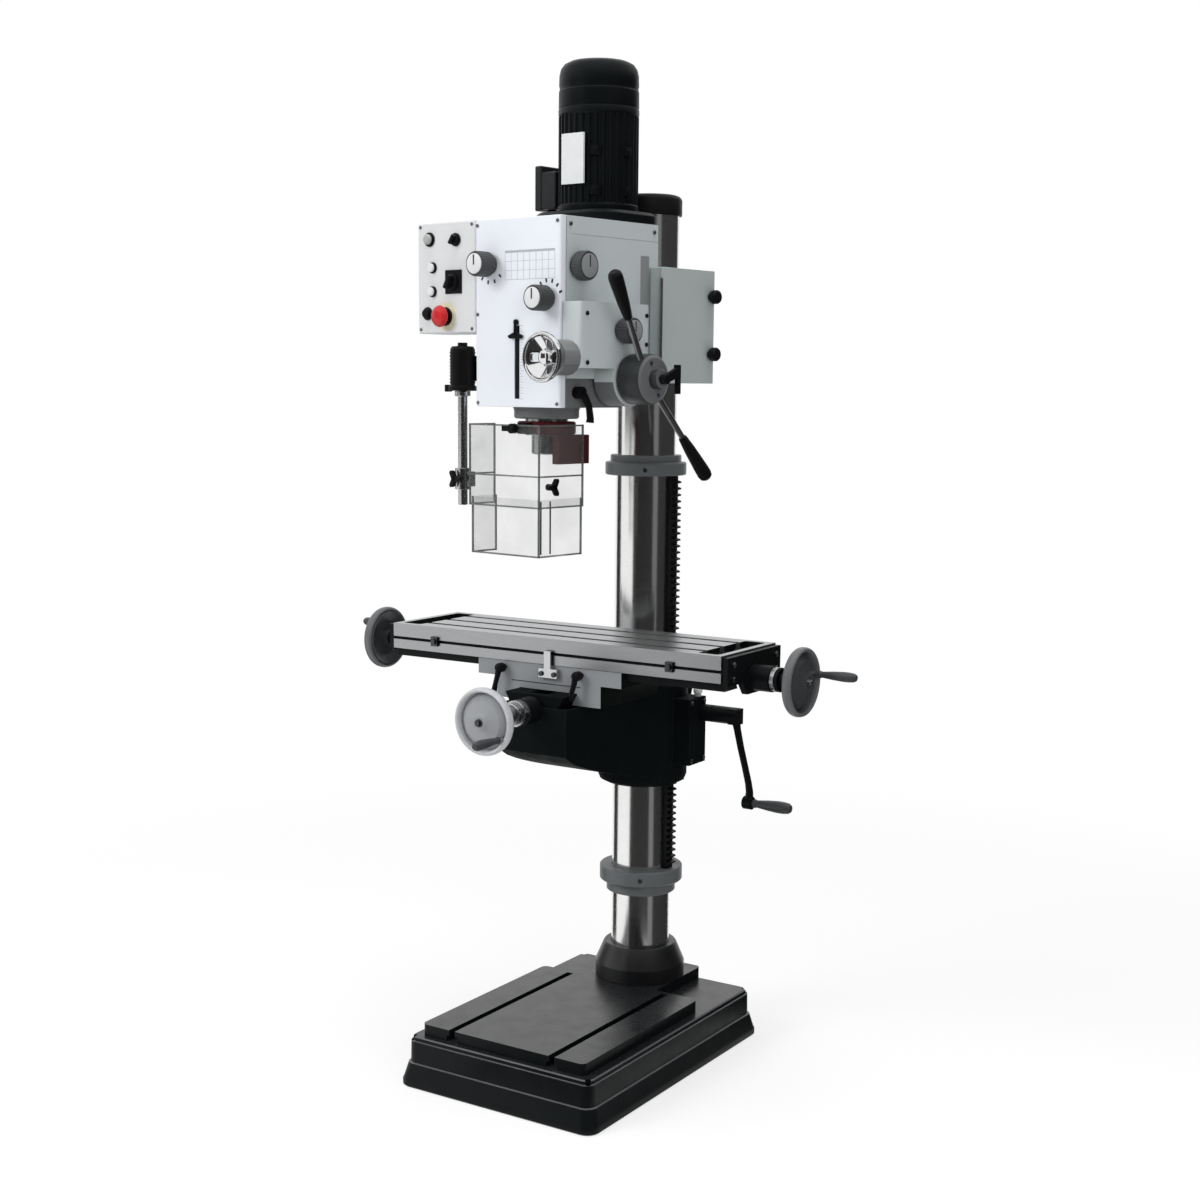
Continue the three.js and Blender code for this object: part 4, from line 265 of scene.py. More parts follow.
class Shell:
    """Closed shells in millimetres that become one mesh. Each call that draws returns the shell."""

    def __init__(self, place=STAND):
        self.bm = bmesh.new()
        self.place = place

    def skin(self, rings, loop=False):
        """Faces between rings of points; a ring of one point closes its end, others are capped."""
        made = [[self.bm.verts.new(p) for p in ring] for ring in rings]
        pairs = list(zip(made, made[1:])) + ([(made[-1], made[0])] if loop else [])
        for a, b in pairs:
            n = max(len(a), len(b))
            for i in range(n):
                corners = [a[i % len(a)], a[(i + 1) % len(a)], b[(i + 1) % len(b)], b[i % len(b)]]
                unique = list(dict.fromkeys(corners))
                if len(unique) > 2:
                    self.bm.faces.new(unique)
        if not loop:
            for end in (made[0], made[-1]):
                if len(end) > 2:
                    self.bm.faces.new(end)
        return self

    def lathe(self, axis, centre, profile, segments=64, loop=False, start=0, side=1):
        """A turned shell: the profile's places count from start, forwards or backwards along the axis."""
        rings = []
        for r, h in profile:
            count = segments if r > 0 else 1
            rings.append([ring_point(axis, centre, r, math.tau * i / segments, start + side * h)
                          for i in range(count)])
        return self.skin(rings, loop)

    def tube_wall(self, axis, centre, inner, outer, a, b, segments=64):
        return self.lathe(axis, centre, [(inner, a), (outer, a), (outer, b), (inner, b)], segments, loop=True)

    def rod(self, axis, centre, r, a, b, segments=48, chamfer=0.6):
        a, b = min(a, b), max(a, b)
        c = min(chamfer, r / 3, (b - a) / 3)
        profile = [(0, a), (r - c, a), (r, a + c), (r, b - c), (r - c, b), (0, b)]
        return self.lathe(axis, centre, profile, segments)

    def prism(self, axis, a, b, outline):
        """An outline across the axis, drawn out from a to b: (y, z), (x, z) or (x, y) pairs."""
        order = {"x": (0, 1, 2), "y": (1, 0, 2), "z": (1, 2, 0)}[axis]
        return self.skin([[[(h, u, v)[k] for k in order] for u, v in outline] for h in (a, b)])

    def box(self, *ends):
        """A box between two x, two y and two z."""
        (x0, x1), (y0, y1), (z0, z1) = (sorted(ends[k:k + 2]) for k in (0, 2, 4))
        return self.prism("z", z0, z1, [(x0, y0), (x1, y0), (x1, y1), (x0, y1)])

    def loft(self, sections, steps=8):
        """Rounded upright sections (z, x0, x1, y0, y1, r)."""
        return self.skin([[(x, y, z) for x, y in rounded(x0, x1, y0, y1, r, steps)]
                          for z, x0, x1, y0, y1, r in sections])

    def tube(self, points, radii, segments=20):
        """A round bar along points, with one radius for each."""
        pts = [Vector(p) for p in points]
        side = None
        rings = []
        for i, p in enumerate(pts):
            along = (pts[min(i + 1, len(pts) - 1)] - pts[max(i - 1, 0)]).normalized()
            if side is None:
                side = along.orthogonal().normalized()
            side = (side - along * side.dot(along)).normalized()
            other = along.cross(side)
            rings.append([tuple(p + radii[i] * (side * math.cos(t) + other * math.sin(t)))
                          for t in (math.tau * k / segments for k in range(segments))])
        return self.skin(rings)

    def screws(self, axis, places, r, face, out):
        """Socket head screws standing out of a face."""
        for centre in places:
            self.rod(axis, centre, r, face, face + out, 24, SCREW_EDGE)
            socket = [(0, 1), (r / 2, 1), (r / 2, SOCKET), (0, SOCKET)]
            self.lathe(axis, centre, socket, 6, start=face, side=out)
        return self

    def turned_by(self, degrees, axis, centre, start=0):
        """Turns what was added after vertex number start."""
        self.bm.verts.ensure_lookup_table()
        at = Vector(centre)
        turn = Matrix.Rotation(math.radians(degrees), 4, axis)
        spin = Matrix.Translation(at) @ turn @ Matrix.Translation(-at)
        bmesh.ops.transform(self.bm, matrix=spin, verts=self.bm.verts[start:])
        return self

    def around(self, angles, axis, centre, draw):
        """What draw adds, turned about the axis by each angle."""
        for degrees in angles:
            start = len(self.bm.verts)
            draw()
            self.turned_by(degrees, axis, centre, start)
        return self

    def mesh(self, name):
        bmesh.ops.recalc_face_normals(self.bm, faces=self.bm.faces)
        bmesh.ops.transform(self.bm, matrix=self.place @ Matrix.Scale(MM, 4), verts=self.bm.verts)
        data = bpy.data.meshes.new(name)
        self.bm.to_mesh(data)
        self.bm.free()
        obj = bpy.data.objects.new(name, data)
        bpy.context.scene.collection.objects.link(obj)
        return obj

    def piece(self, name, material, body, slot, bevel=0.0, steps=2, angle=30, replaces=()):
        return finish_piece(self.mesh(name), material, body, bevel, steps, angle, replaces)


def rounded(x0, x1, y0, y1, r, steps=8):
    """Outline of a rectangle with round corners."""
    out = []
    corners = ((x1 - r, y1 - r, 0), (x0 + r, y1 - r, 90), (x0 + r, y0 + r, 180), (x1 - r, y0 + r, 270))
    for cx, cy, start in corners:
        for i in range(steps + 1):
            t = math.radians(start + 90 * i / steps)
            out.append((cx + r * math.cos(t), cy + r * math.sin(t)))
    return out


def tee(at, top, over, neck, half, lip, deep):
    """Outline of a T-slot, down its left side and up its right one."""
    left = [(-neck, over), (-neck, -lip), (-half, -lip), (-half, -deep)]
    return [(at + u, top + v) for u, v in left + [(-u, v) for u, v in reversed(left)]]


def boolean(obj, tool, operation):
    other = tool.mesh("tool")
    m = obj.modifiers.new("cut", "BOOLEAN")
    m.operation = operation
    m.solver = "EXACT"
    m.object = other
    bpy.context.view_layer.update()
    done = bpy.data.meshes.new_from_object(obj.evaluated_get(bpy.context.evaluated_depsgraph_get()))
    obj.modifiers.clear()
    old = obj.data
    obj.data = done
    bpy.data.meshes.remove(old)
    bpy.data.objects.remove(other)


def carve(obj, *tools):
    for tool in tools:
        boolean(obj, tool, "DIFFERENCE")


def fuse(obj, *tools):
    for tool in tools:
        boolean(obj, tool, "UNION")


def finish_piece(obj, material, body, bevel=0.0, steps=2, angle=30, replaces=()):
    obj.data.materials.clear()
    obj.data.materials.append(material)
    if bevel:
        m = obj.modifiers.new("edges", "BEVEL")
        m.width = bevel * MM
        m.segments = steps
        m.limit_method = "ANGLE"
        m.angle_limit = math.radians(angle)
        m.harden_normals = True
    obj.data.shade_smooth()
    obj.data.set_sharp_from_angle(angle=math.radians(angle))
    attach(obj, body)
    if replaces:
        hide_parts(*replaces)
    return obj


def repaint(obj, material, chosen, place=STAND):
    """Another material for the faces that chosen(centre in millimetres, normal) picks."""
    back = place.inverted()
    obj.data.materials.append(material)
    for face in obj.data.polygons:
        if chosen(back @ face.center / MM, back.to_3x3() @ face.normal):
            face.material_index = len(obj.data.materials) - 1


def clone(node, name, material, bevel=0.8, steps=2, angle=30):
    """The CAD solid itself with broken edges, standing for its node."""
    source = frame["nodes"][node]
    obj = bpy.data.objects.new(name, source.data.copy())
    bpy.context.scene.collection.objects.link(obj)
    bm = bmesh.new()
    bm.from_mesh(obj.data)
    bmesh.ops.remove_doubles(bm, verts=bm.verts, dist=WELD)
    bmesh.ops.dissolve_limit(bm, angle_limit=math.radians(FLAT_ANGLE), verts=bm.verts, edges=bm.edges)
    bm.to_mesh(obj.data)
    bm.free()
    return finish_piece(obj, material, NODE_BODY[node], bevel, steps, angle, (node,))


SCREW_EDGE, SOCKET, WELD, FLAT_ANGLE = 0.5, 1.06, 2e-5, 1.5
SIDES = (-1, 1)
FACING = 0.7
FAR = (500, 800)

# Stand
BASE = Span("base")
# Height, step in from the base's box and corner radius, from the floor to the deck
SKIRT = ((0, 3, 24), (3, 0, 26), (13, 0, 26), (17, 2, 25), (45, 9.1, 23), (46.5, 12.6, 21), (87.4, 13.6, 20),
         (88.4, 16.6, 18), (94.4, 17.1, 18), (96.4, 19.6, 16))
BASE_TOP, DECK_TOP, DECK_FOOT = SKIRT[-1][0], BASE.z1, 92.4
DECKS = ((-184, 184, -487.6, -79, 12), (-88, 88, -119, 100, 10))
BASE_SLOT = {"over": 2, "neck": 7, "half": 13, "lip": 11, "deep": 22}
BASE_SLOT_X, BASE_SLOT_Y = 113, (-492.6, -88)
BOLT_HOLE_IN, BOLT_HOLE_R, BOLT_HOLE_Z = 23.6, 5.5, (60, 101.4)
BASE_WALL, BASE_HOLLOW_Z = 30, (-5, 70)
LEVEL, LEDGE_SLOPE, LEDGE_LOW, EASE = 0.95, (0.6, 0.96), 30, 1
TUBE = [(46, 120.3), (59.6, 120.3), (59.6, 1638), (46, 1638)]
FOOT = [(60.2, 120.2), (91, 120.2), (91, 149), (75, 186), (72, 190), (60.2, 190)]
CAP = [(0, 1620.3), (45, 1620.3), (45, 1638.3), (63, 1638.3), (64, 1639.8), (64, 1667.3), (62.5, 1671.3),
       (59, 1674.8), (53, 1676.9), (0, 1677)]
LOW_COLLAR = [(60.2, 300), (69, 300), (70, 301), (70, 320), (71, 322), (82, 322), (84, 324), (84, 350),
              (82, 352), (60.2, 352)]
TOP_COLLAR = [(60.2, 1143), (78, 1143), (80, 1145), (80, 1166), (78, 1168), (71, 1168), (70, 1169),
              (70, 1181), (69, 1182), (60.2, 1182)]
COLLAR_SCREWS = ((337, 83), (1155, 79))


def build_base():
    base = Shell().loft([(z, BASE.x0 + step, BASE.x1 - step, BASE.y0 + step, BASE.y1 - step, r)
                         for z, step, r in SKIRT]).mesh("base_casting")
    for deck in DECKS:
        fuse(base, Shell().loft([(z, *deck) for z in (DECK_FOOT, DECK_TOP)]))
    for side in SIDES:
        carve(base, Shell().prism("y", *BASE_SLOT_Y, tee(side * BASE_SLOT_X, DECK_TOP, **BASE_SLOT)))
        for y in (BASE.y0 + BOLT_HOLE_IN, BASE.y1 - BOLT_HOLE_IN):
            carve(base, Shell().rod("z", (side * (BASE.x1 - BOLT_HOLE_IN), y), BOLT_HOLE_R, *BOLT_HOLE_Z, 24))
    hollow = (BASE.x0 + BASE_WALL, BASE.x1 - BASE_WALL, BASE.y0 + BASE_WALL, BASE.y1 - BASE_WALL)
    carve(base, Shell().box(*hollow, *BASE_HOLLOW_Z))
    finish_piece(base, BLACK_ENAMEL, "stand", 1.2, 3, 35, ("base",))
    # The base's level top faces get the glossier paint, lighter as a painted sheen
    repaint(base, DECK_SHEEN_ENAMEL, lambda centre, normal: normal.z > LEVEL and centre.z > BASE_TOP - EASE)
    # Upward sloping faces of the skirt get the lighter grey: a painted highlight along the ledges
    repaint(base, LEDGE_HIGHLIGHT, lambda centre, normal: LEDGE_SLOPE[0] < normal.z < LEDGE_SLOPE[1]
            and LEDGE_LOW < centre.z < BASE_TOP)


def build_column():
    Shell().lathe("z", AXIS, TUBE, 128, loop=True).piece(
        "column_tube", COLUMN_STEEL, "stand", "chrome", replaces=("column",))
    Shell().lathe("z", AXIS, FOOT, 96, loop=True).piece(
        "column_foot_casting", FOOT_ENAMEL, "stand", "cast", 0.8, angle=15, replaces=("column_foot",))
    Shell().lathe("z", AXIS, CAP, 96).piece(
        "column_cap_moulding", PLASTIC_BLACK, "stand", "black", replaces=("column_cap",))
    for name, profile in (("lower", LOW_COLLAR), ("upper", TOP_COLLAR)):
        Shell().lathe("z", AXIS, profile, 96, loop=True).piece(
            f"collar_{name}_ring", COLLAR_GREY, "stand", "grey", replaces=(f"collar_{name}",))
    s = Shell()
    for z, r in COLLAR_SCREWS:
        s.around((-60, 180), "Z", (0, 0, z), lambda: s.screws("x", [(0, z)], 5, r, 2.2))
    s.piece("collar_screws", SCREW_STEEL, "stand", "steel")


# Knee
KNEE_HALF, KNEE_FRONT, KNEE_REAR, KNEE_TOP = 75, -391, 40, 735
UNDER_FRONT, UNDER_DROP, UNDER_POWER, UNDER_STEPS = 648, 120, 0.72, 16
KNEE_SLEEVE = [(0, 527), (74, 527), (86, 533), (90, 543), (90, 731), (86, 735), (0, 735)]
GEAR_CASE, CLAMP_LUG = (60, 124, -26, 38, 574, 706), (-22, 22, 78, 118, 606, 676)
KNEE_WAY, KNEE_WAY_Y = [(-52, 734), (-64, 757), (64, 757), (52, 734)], (-384, -98)
COLUMN_BORE, SCREW_TROUGH = (0.1, 60.2), (-20, 20, -369, -105, 709, 760)
CLAMP_SPLIT, RACK_GROOVE = (-3, 3, 40, 125, *FAR), (52, 75.2, -13.6, 13.6, *FAR)
OIL_FLUTE, OIL_FLUTE_Y = [(34, 740), (34, 722), (66, 722), (66, 740)], (-373, -150)
CROSS = (0, 730)
CROSS_BEARING = [(8.3, -428), (22.5, -428), (24.5, -426), (24.5, KNEE_FRONT), (8.3, KNEE_FRONT)]
OIL_CUP_AT = (112, 26)
OIL_CUP = [(0, 705), (7, 705), (7, 712), (9, 713), (9, 720), (6, 723), (0, 724)]
CASE_SCREWS = [(-18, 582), (30, 582), (-18, 698), (30, 698)]
CRANK, CRANK_X, CRANK_END = (24, 675), 208, (24, 505)
CRANK_BOSS = [(12, 659), (36, 659), (36, 690), (12, 690)]
# Place of the crank's arm from CRANK_X, its height and its radius there
CRANK_ARM = ((-8, 667, 8.5), (-4, 649, 7.2), (4, 615, 6.8), (15, 575, 6.6), (23, 545, 6.8), (26, 527, 7.4),
             (25, 505, 9))
# Radius and place of a handle, as shares of its radius and length
HANDLE = ((0.62, 0), (0.7, 0.02), (0.72, 0.07), (0.6, 0.1), (0.66, 0.16), (0.86, 0.4), (1.0, 0.66),
          (0.98, 0.8), (0.86, 0.93), (0.6, 0.985), (0, 1))


def knee_under(share):
    """Place and height of the knee's underside from its front, share 0, to its rear, share 1."""
    return KNEE_FRONT + (KNEE_REAR - KNEE_FRONT) * share, UNDER_FRONT - UNDER_DROP * share ** UNDER_POWER


def build_knee():
    under = [knee_under(k / UNDER_STEPS) for k in range(UNDER_STEPS + 1)]
    outline = [(KNEE_FRONT, KNEE_TOP), *under, (KNEE_REAR, KNEE_TOP)]
    knee = Shell().prism("x", -KNEE_HALF, KNEE_HALF, outline).mesh("knee_casting")
    fuse(knee, Shell().lathe("z", AXIS, KNEE_SLEEVE, 72), Shell().box(*GEAR_CASE),
         Shell().prism("y", *KNEE_WAY_Y, KNEE_WAY), Shell().box(*CLAMP_LUG))
    carve(knee, Shell().tube_wall("z", AXIS, *COLUMN_BORE, *FAR, 72), Shell().box(*SCREW_TROUGH),
          Shell().box(*CLAMP_SPLIT), Shell().box(*RACK_GROOVE), Shell().prism("y", *OIL_FLUTE_Y, OIL_FLUTE))
    finish_piece(knee, KNEE_ENAMEL, "knee", 2.2, 3, 35, ("knee",))
    s = Shell().lathe("y", CROSS, CROSS_BEARING, 48, loop=True).tube_wall("x", CRANK, 8.3, 17, 124, 150, 48)
    s.piece("knee_bearings", SATIN_BLACK, "knee", "cast", 0.8)
    Shell().lathe("z", OIL_CUP_AT, OIL_CUP, 32).piece("oil_cup", PLASTIC_WHITE, "knee", "white")
    Shell().screws("x", CASE_SCREWS, 4.5, 124, 3).piece("gear_case_screws", SCREW_STEEL, "knee", "steel")


def handle(name, axis, centre, start, long, side, r, body, node):
    """A turned handle that spins on its pin."""
    profile = [(0, 0)] + [(r * a, long * b) for a, b in HANDLE]
    Shell().lathe(axis, centre, profile, 48, start=start, side=side).piece(
        name, PLASTIC_GREY, body, "plastic", replaces=(node,))


def build_crank():
    s = Shell().rod("x", CRANK, 17, 150.3, CRANK_X, 48, 1.5)
    s.prism("x", 188, 210, CRANK_BOSS)
    s.tube([(CRANK_X + x, CRANK[0], z) for x, z, r in CRANK_ARM], [r for x, z, r in CRANK_ARM])
    s.rod("x", CRANK_END, 13, 222, 242, 40, 1.2).rod("x", CRANK_END, 5, 238, 300, 24)
    s.rod("x", CRANK, 8, 116, 152, 32)
    s.piece("lift_crank_forging", SATIN_BLACK, "crank", "black", 0.8, replaces=("lift_crank",))
    handle("crank_grip_turned", "x", CRANK_END, 242.5, 84, 1, 12, "crank_handle", "crank_grip")


# Saddle and cross feed
STOP_SCREWS, GIB_LINE = [(-9, 790), (19, 790)], (-83, 72, -338.6, -337.2, 769.4, 771)
LOCK_X, LOCK_Y, LOCK_Z = {"left": -99, "right": 73}, -344, 793
LOCK_CAP = [(0, -17), (5.5, -17), (8, -15), (9, -12), (9, -2), (7.5, 0), (0, 0)]
# Places of a lock lever's arm from its screw, and its radii there
LOCK_ARM = ((0, -12, 3, 6.5), (-2, -14, -14, 5.2), (-5, -17, -30, 4.6), (-7, -18, -44, 5.8))
CROSS_NUT = [(0, -557), (4, -557), (6.5, -555.5), (7, -553), (7, -550), (0, -550)]
CROSS_PIN = (42, 704)
TICK_R, TICKS, TICKS_LONG, TICK_SHARE = 0.45, 50, 5, 0.55
WHEEL_FRONT = ((0, 10), (12, 10), (14, 8.5))
# Radius as a share of the wheel's, and place from the middle of its rim, on the front and back of the web
WHEEL_DISH = ((0.22, 9), (0.30, 6), (0.62, 2), (0.78, -7))
WHEEL_BACK = ((0.76, -12), (0.58, -4), (0.30, -3))
WHEEL_BOSS = ((16, -8), (15, -20), (0, -20))
WHEEL_RIM_IN, WHEEL_RIM_R, WHEEL_RIM_HALF, WHEEL_RIM_BACK = 9, 4.5, 9, 5
WHEEL_WEB = (-11, -15)


def dial_ticks(shell, axis, centre, r, a, b):
    """Graduation lines standing a hair proud of a dial, every fifth one long."""
    for i in range(TICKS):
        t = math.tau * i / TICKS
        end = b if i % TICKS_LONG == 0 else a + (b - a) * TICK_SHARE
        shell.tube([ring_point(axis, centre, r, t, a), ring_point(axis, centre, r, t, end)], [TICK_R] * 2, 6)


def wheel(name, axis, centre, at, r, side, body, node, material, rim):
    """A dished handwheel with a rounded rim; at is the middle of its rim along the axis."""
    lip = [(r - WHEEL_RIM_R + WHEEL_RIM_R * math.cos(t), -WHEEL_RIM_BACK + WHEEL_RIM_HALF * math.sin(t))
           for t in (math.radians(a) for a in range(150, -151, -20))]
    web = r - WHEEL_RIM_IN
    dish, back = ([(r * share, h) for share, h in part] for part in (WHEEL_DISH, WHEEL_BACK))
    profile = [*WHEEL_FRONT, *dish, (web, WHEEL_WEB[0]), *lip, (web, WHEEL_WEB[1]), *back, *WHEEL_BOSS]
    obj = Shell().lathe(axis, centre, profile, 96, start=at, side=side).piece(
        name, material, body, "chrome", replaces=(node,))
    across = {"x": (1, 2), "y": (0, 2)}[axis]
    repaint(obj, rim, lambda spot, normal: math.dist([spot[k] for k in across], centre) > web)


def build_saddle():
    saddle = clone("saddle", "saddle_casting", SATIN_BLACK, 1.6, 3)
    repaint(saddle, SADDLE_GREY, lambda centre, normal: normal.y < -FACING)
    clone("table_stop_block", "stop_block", EDGE_STEEL, 1.0)
    Shell().screws("y", STOP_SCREWS, 4.6, -347.8, -3).piece(
        "stop_block_screws", DARK_STEEL, "saddle", "black")
    Shell().box(*GIB_LINE).piece("saddle_gib_line", INK, "saddle", "black")
    for name, x in LOCK_X.items():
        at = (x, LOCK_Z)
        s = Shell().lathe("y", at, LOCK_CAP, 40, start=LOCK_Y)
        s.tube([(x + u, LOCK_Y + v, LOCK_Z + w) for u, v, w, r in LOCK_ARM], [r for u, v, w, r in LOCK_ARM])
        s.rod("y", at, 5, -345, -328, 24)
        s.piece(f"lock_lever_{name}", PLASTIC_BLACK, f"lock_{name}", "black",
                replaces=(f"saddle_lock_{name}",))
    Shell().rod("y", CROSS, 9.5, -350, -110, 32).rod("y", CROSS, 8, -530, -350, 32).piece(
        "cross_screw_bar", TURNED_STEEL, "cross_feed", "steel", replaces=("cross_screw",))
    Shell().rod("y", CROSS, 24, -446, -428.4, 72, 1.2).rod("y", CROSS, 20, -458, -446, 48, 1.5).piece(
        "cross_dial", TURNED_STEEL, "cross_feed", "steel", 0.4)
    s = Shell()
    dial_ticks(s, "y", CROSS, 24, -429, -440)
    s.piece("cross_dial_lines", INK, "cross_feed", "black")
    wheel("cross_wheel_dish", "y", CROSS, -541, 61, -1, "cross_feed", "cross_wheel", WHEEL_SILVER, SILVER_RIM)
    Shell().rod("y", CROSS, 15, -529, -458.4, 40, 1).rod("y", CROSS_PIN, 4.5, -603, -536, 20).piece(
        "cross_wheel_hub", TURNED_STEEL, "cross_feed", "steel")
    Shell().lathe("y", CROSS, CROSS_NUT, 32).piece("cross_wheel_nut", DARK_STEEL, "cross_feed", "steel")
    handle("cross_grip_turned", "y", CROSS_PIN, -550, 72, -1, 9, "cross_handle", "cross_wheel_grip")


# Table
TABLE = Span("table")
TABLE_UNDER, GROOVE_Z, GROOVE_DEEP = 806.2, (824.4, 829.6), 6
TABLE_SLOTS = (-298, -237.5, -177)
TABLE_SLOT = {"over": 0, "neck": 7, "half": 11.5, "lip": 9, "deep": 18}
# The underside from the back: two dovetails with the nut's tunnel between them
TABLE_WAYS = [(-150, TABLE_UNDER), (-150, 790), (-197, 790), (-189, TABLE_UNDER), (-221.5, TABLE_UNDER),
              (-221.5, 825), (-253.5, 825), (-253.5, TABLE_UNDER), (-286, TABLE_UNDER), (-278, 790),
              (-325, 790), (-325, TABLE_UNDER)]
TROUGH_X, TROUGH_Y, TROUGH_DEEP, TROUGH_R, TROUGH_AWAY, UPRIGHT = (310, 352), (-326, -149), 14, 6, 10, 0.5
END_BLOCK_Y, END_BLOCK_DEEP = (-332, -143), 18.5
# What the black sheet on the trough's floor leaves free at its walls, and its two levels below the table's
# top; the sheet is painted shade in the trough
FLOOR_IN, FLOOR_LEVELS, FLOOR_R = 0.6, (13.9, 12.6), 5
DOG_X, DOG_HALF, DOG_Y, DOG_Z = 262, 8, (-345, -336), (818, 836)
DOG_SCREW = (-349, -344)
BRACKET_SCREWS = [(-318, 838), (-318, 812), (-158, 838), (-158, 812)]
SCREW = (-237.5, 806)
TABLE_NUT = [(0, 490), (4, 490), (6.5, 488), (7, 483), (0, 483)]
TABLE_PINS = {"left": (-201.5, 828), "right": (-197.5, 816)}


def build_table():
    t = TABLE
    outline = [(t.y0, TABLE_UNDER), (t.y0, GROOVE_Z[0]), (t.y0 + GROOVE_DEEP, GROOVE_Z[0]),
               (t.y0 + GROOVE_DEEP, GROOVE_Z[1]), (t.y0, GROOVE_Z[1]), (t.y0, t.z1)]
    for y in TABLE_SLOTS:
        outline += tee(y, t.z1, **TABLE_SLOT)
    outline += [(t.y1, t.z1), (t.y1, TABLE_UNDER), *TABLE_WAYS]
    table = Shell().prism("x", t.x0, t.x1, outline).mesh("table_casting")
    # A black sheet on each trough's floor: painted shade in the trough
    trough_shade = Shell()
    for side in SIDES:
        fuse(table, Shell().box(side * TROUGH_X[1], side * t.x1, *END_BLOCK_Y, t.z1 - END_BLOCK_DEEP, t.z1))
        a, b = sorted(side * x for x in TROUGH_X)
        carve(table, Shell().loft([(t.z1 + z, a, b, *TROUGH_Y, TROUGH_R) for z in (-TROUGH_DEEP, 3)], 4))
        trough_shade.loft([(t.z1 - deep, a + FLOOR_IN, b - FLOOR_IN, TROUGH_Y[0] + FLOOR_IN, TROUGH_Y[1] - FLOOR_IN,
                      FLOOR_R) for deep in FLOOR_LEVELS], 4)
    finish_piece(table, TABLE_STEEL, "table", 0.9, 2, 30, ("table",))
    # The underside and ways are black; the front groove's faces are black as painted shade in the recess
    repaint(table, SATIN_BLACK, lambda centre, normal: centre.z < TABLE_UNDER + EASE or (
        GROOVE_Z[0] - EASE < centre.z < GROOVE_Z[1] + EASE
        and t.y0 + EASE < centre.y < t.y0 + GROOVE_DEEP + EASE))
    # The upright walls of the end troughs get darker steel: painted shade inside the troughs
    repaint(table, DARK_STEEL, lambda centre, normal: abs(normal.z) < UPRIGHT
            and TROUGH_X[0] - EASE < abs(centre.x) < TROUGH_X[1] + EASE
            and t.y0 + TROUGH_AWAY < centre.y < t.y1 - TROUGH_AWAY and centre.z > t.z1 - TROUGH_DEEP - EASE)
    trough_shade.piece("trough_floor_shade", SATIN_BLACK, "table", "steel")
    for name in ("left", "right"):
        clone(f"bracket_{name}", f"table_bracket_{name}", SATIN_BLACK, 1.2)
    dogs, bolts, dials, lines, nuts = (Shell() for k in range(5))
    for side in SIDES:
        x = side * DOG_X
        dogs.box(x - DOG_HALF, x + DOG_HALF, *DOG_Y, *DOG_Z).rod("y", (x, 827), 5.5, *DOG_SCREW, 24, 0.8)
        bolts.screws("x", BRACKET_SCREWS, 5, side * 377.3, side * 3.5)
        dials.rod("x", SCREW, 22, side * 416, side * 425, 72, 0.8)
        dial_ticks(lines, "x", SCREW, 22, side * 416.5, side * 423)
        nuts.rod("x", SCREW, 22, side * 425.2, side * 432, 48, 1.5)
        nuts.rod("x", SCREW, 15, side * 432.5, side * 462, 40, 1)
    dogs.piece("stop_dogs", DARK_STEEL, "table", "steel", 0.8)
    bolts.piece("bracket_screws", SCREW_STEEL, "table", "steel")
    Shell().rod("x", SCREW, 9.5, -330, 330, 32).rod("x", SCREW, 8, -462, 462, 32).piece(
        "table_screw_bar", TURNED_STEEL, "table_feed", "steel", replaces=("table_screw",))
    dials.piece("table_dials", TURNED_STEEL, "table_feed", "steel", 0.4)
    lines.piece("table_dial_lines", INK, "table_feed", "black")
    nuts.piece("table_dial_nuts", SATIN_BLACK, "table_feed", "black")
    for side, (name, pin) in zip(SIDES, TABLE_PINS.items()):
        wheel(f"wheel_{name}_dish", "x", SCREW, side * 474, 62, side, "table_feed", f"wheel_{name}",
              WHEEL_GREY, WHEEL_RIM)
        s = Shell().rod("x", pin, 4.5, side * 474, side * 540, 20)
        s.lathe("x", SCREW, TABLE_NUT, 32, side=side).piece(
            f"wheel_{name}_pin", TURNED_STEEL, "table_feed", "steel")
        handle(f"grip_{name}_turned", "x", pin, side * 483, 74, side, 9, f"handle_{name}",
               f"wheel_grip_{name}")


# Head
PLATE, CASING = Span("front_plate", HEAD), Span("head_casing", HEAD)
HEAD_X, HEAD_TOP, HEAD_FLOOR = PLATE.x1, PLATE.z1, 1328
NOSE, NOSE_Z = (-96, 96, -350, -190, 8), (1276, HEAD_FLOOR + 4)
CLAMP_BARREL = [(0, 1335), (82, 1335), (86, 1339), (86, 1521), (82, 1525), (0, 1525)]
NECK, EARS_Z = (-86, 86, -104, 0, 1335, 1525), ((1372, 1420), (1462, 1510))
EAR = (-24, 24, 60, 112)
SPINDLE = (0, -290)
QUILL_FLANGE = [(0, 1255), (57, 1255), (60, 1258), (60, 1270), (63, 1278), (0, 1278)]
QUILL_BORE, COLUMN_HOLE, MOTOR_HOLE = (40.4, 1200, 1470, 64), (60.2, 1300, 1640, 72), (46, 1560, 1640, 48)
HEAD_SPLIT, DEPTH_CUT = (-2.5, 2.5, 40, 120, 1300, 1640), (-6, 6, CASING.y0, -336, 1291, 1421)
SEAM_DEEP, SEAM = 1.2, [(-340, 1578), (-101, 1578), (-101, 1579.6), (-340, 1579.6)]
SIDE_SCREWS = [(-344, 1596), (-112, 1596)]
OIL_PLATE = (HEAD_X - 0.5, HEAD_X + 0.8, -150, -126, 1462, 1552)
EAR_BOLTS = [(90, 1396), (90, 1486)]
# Axes of the feed and the motor
FEED, MOTOR = (-229.2, 1328), (0, -150)


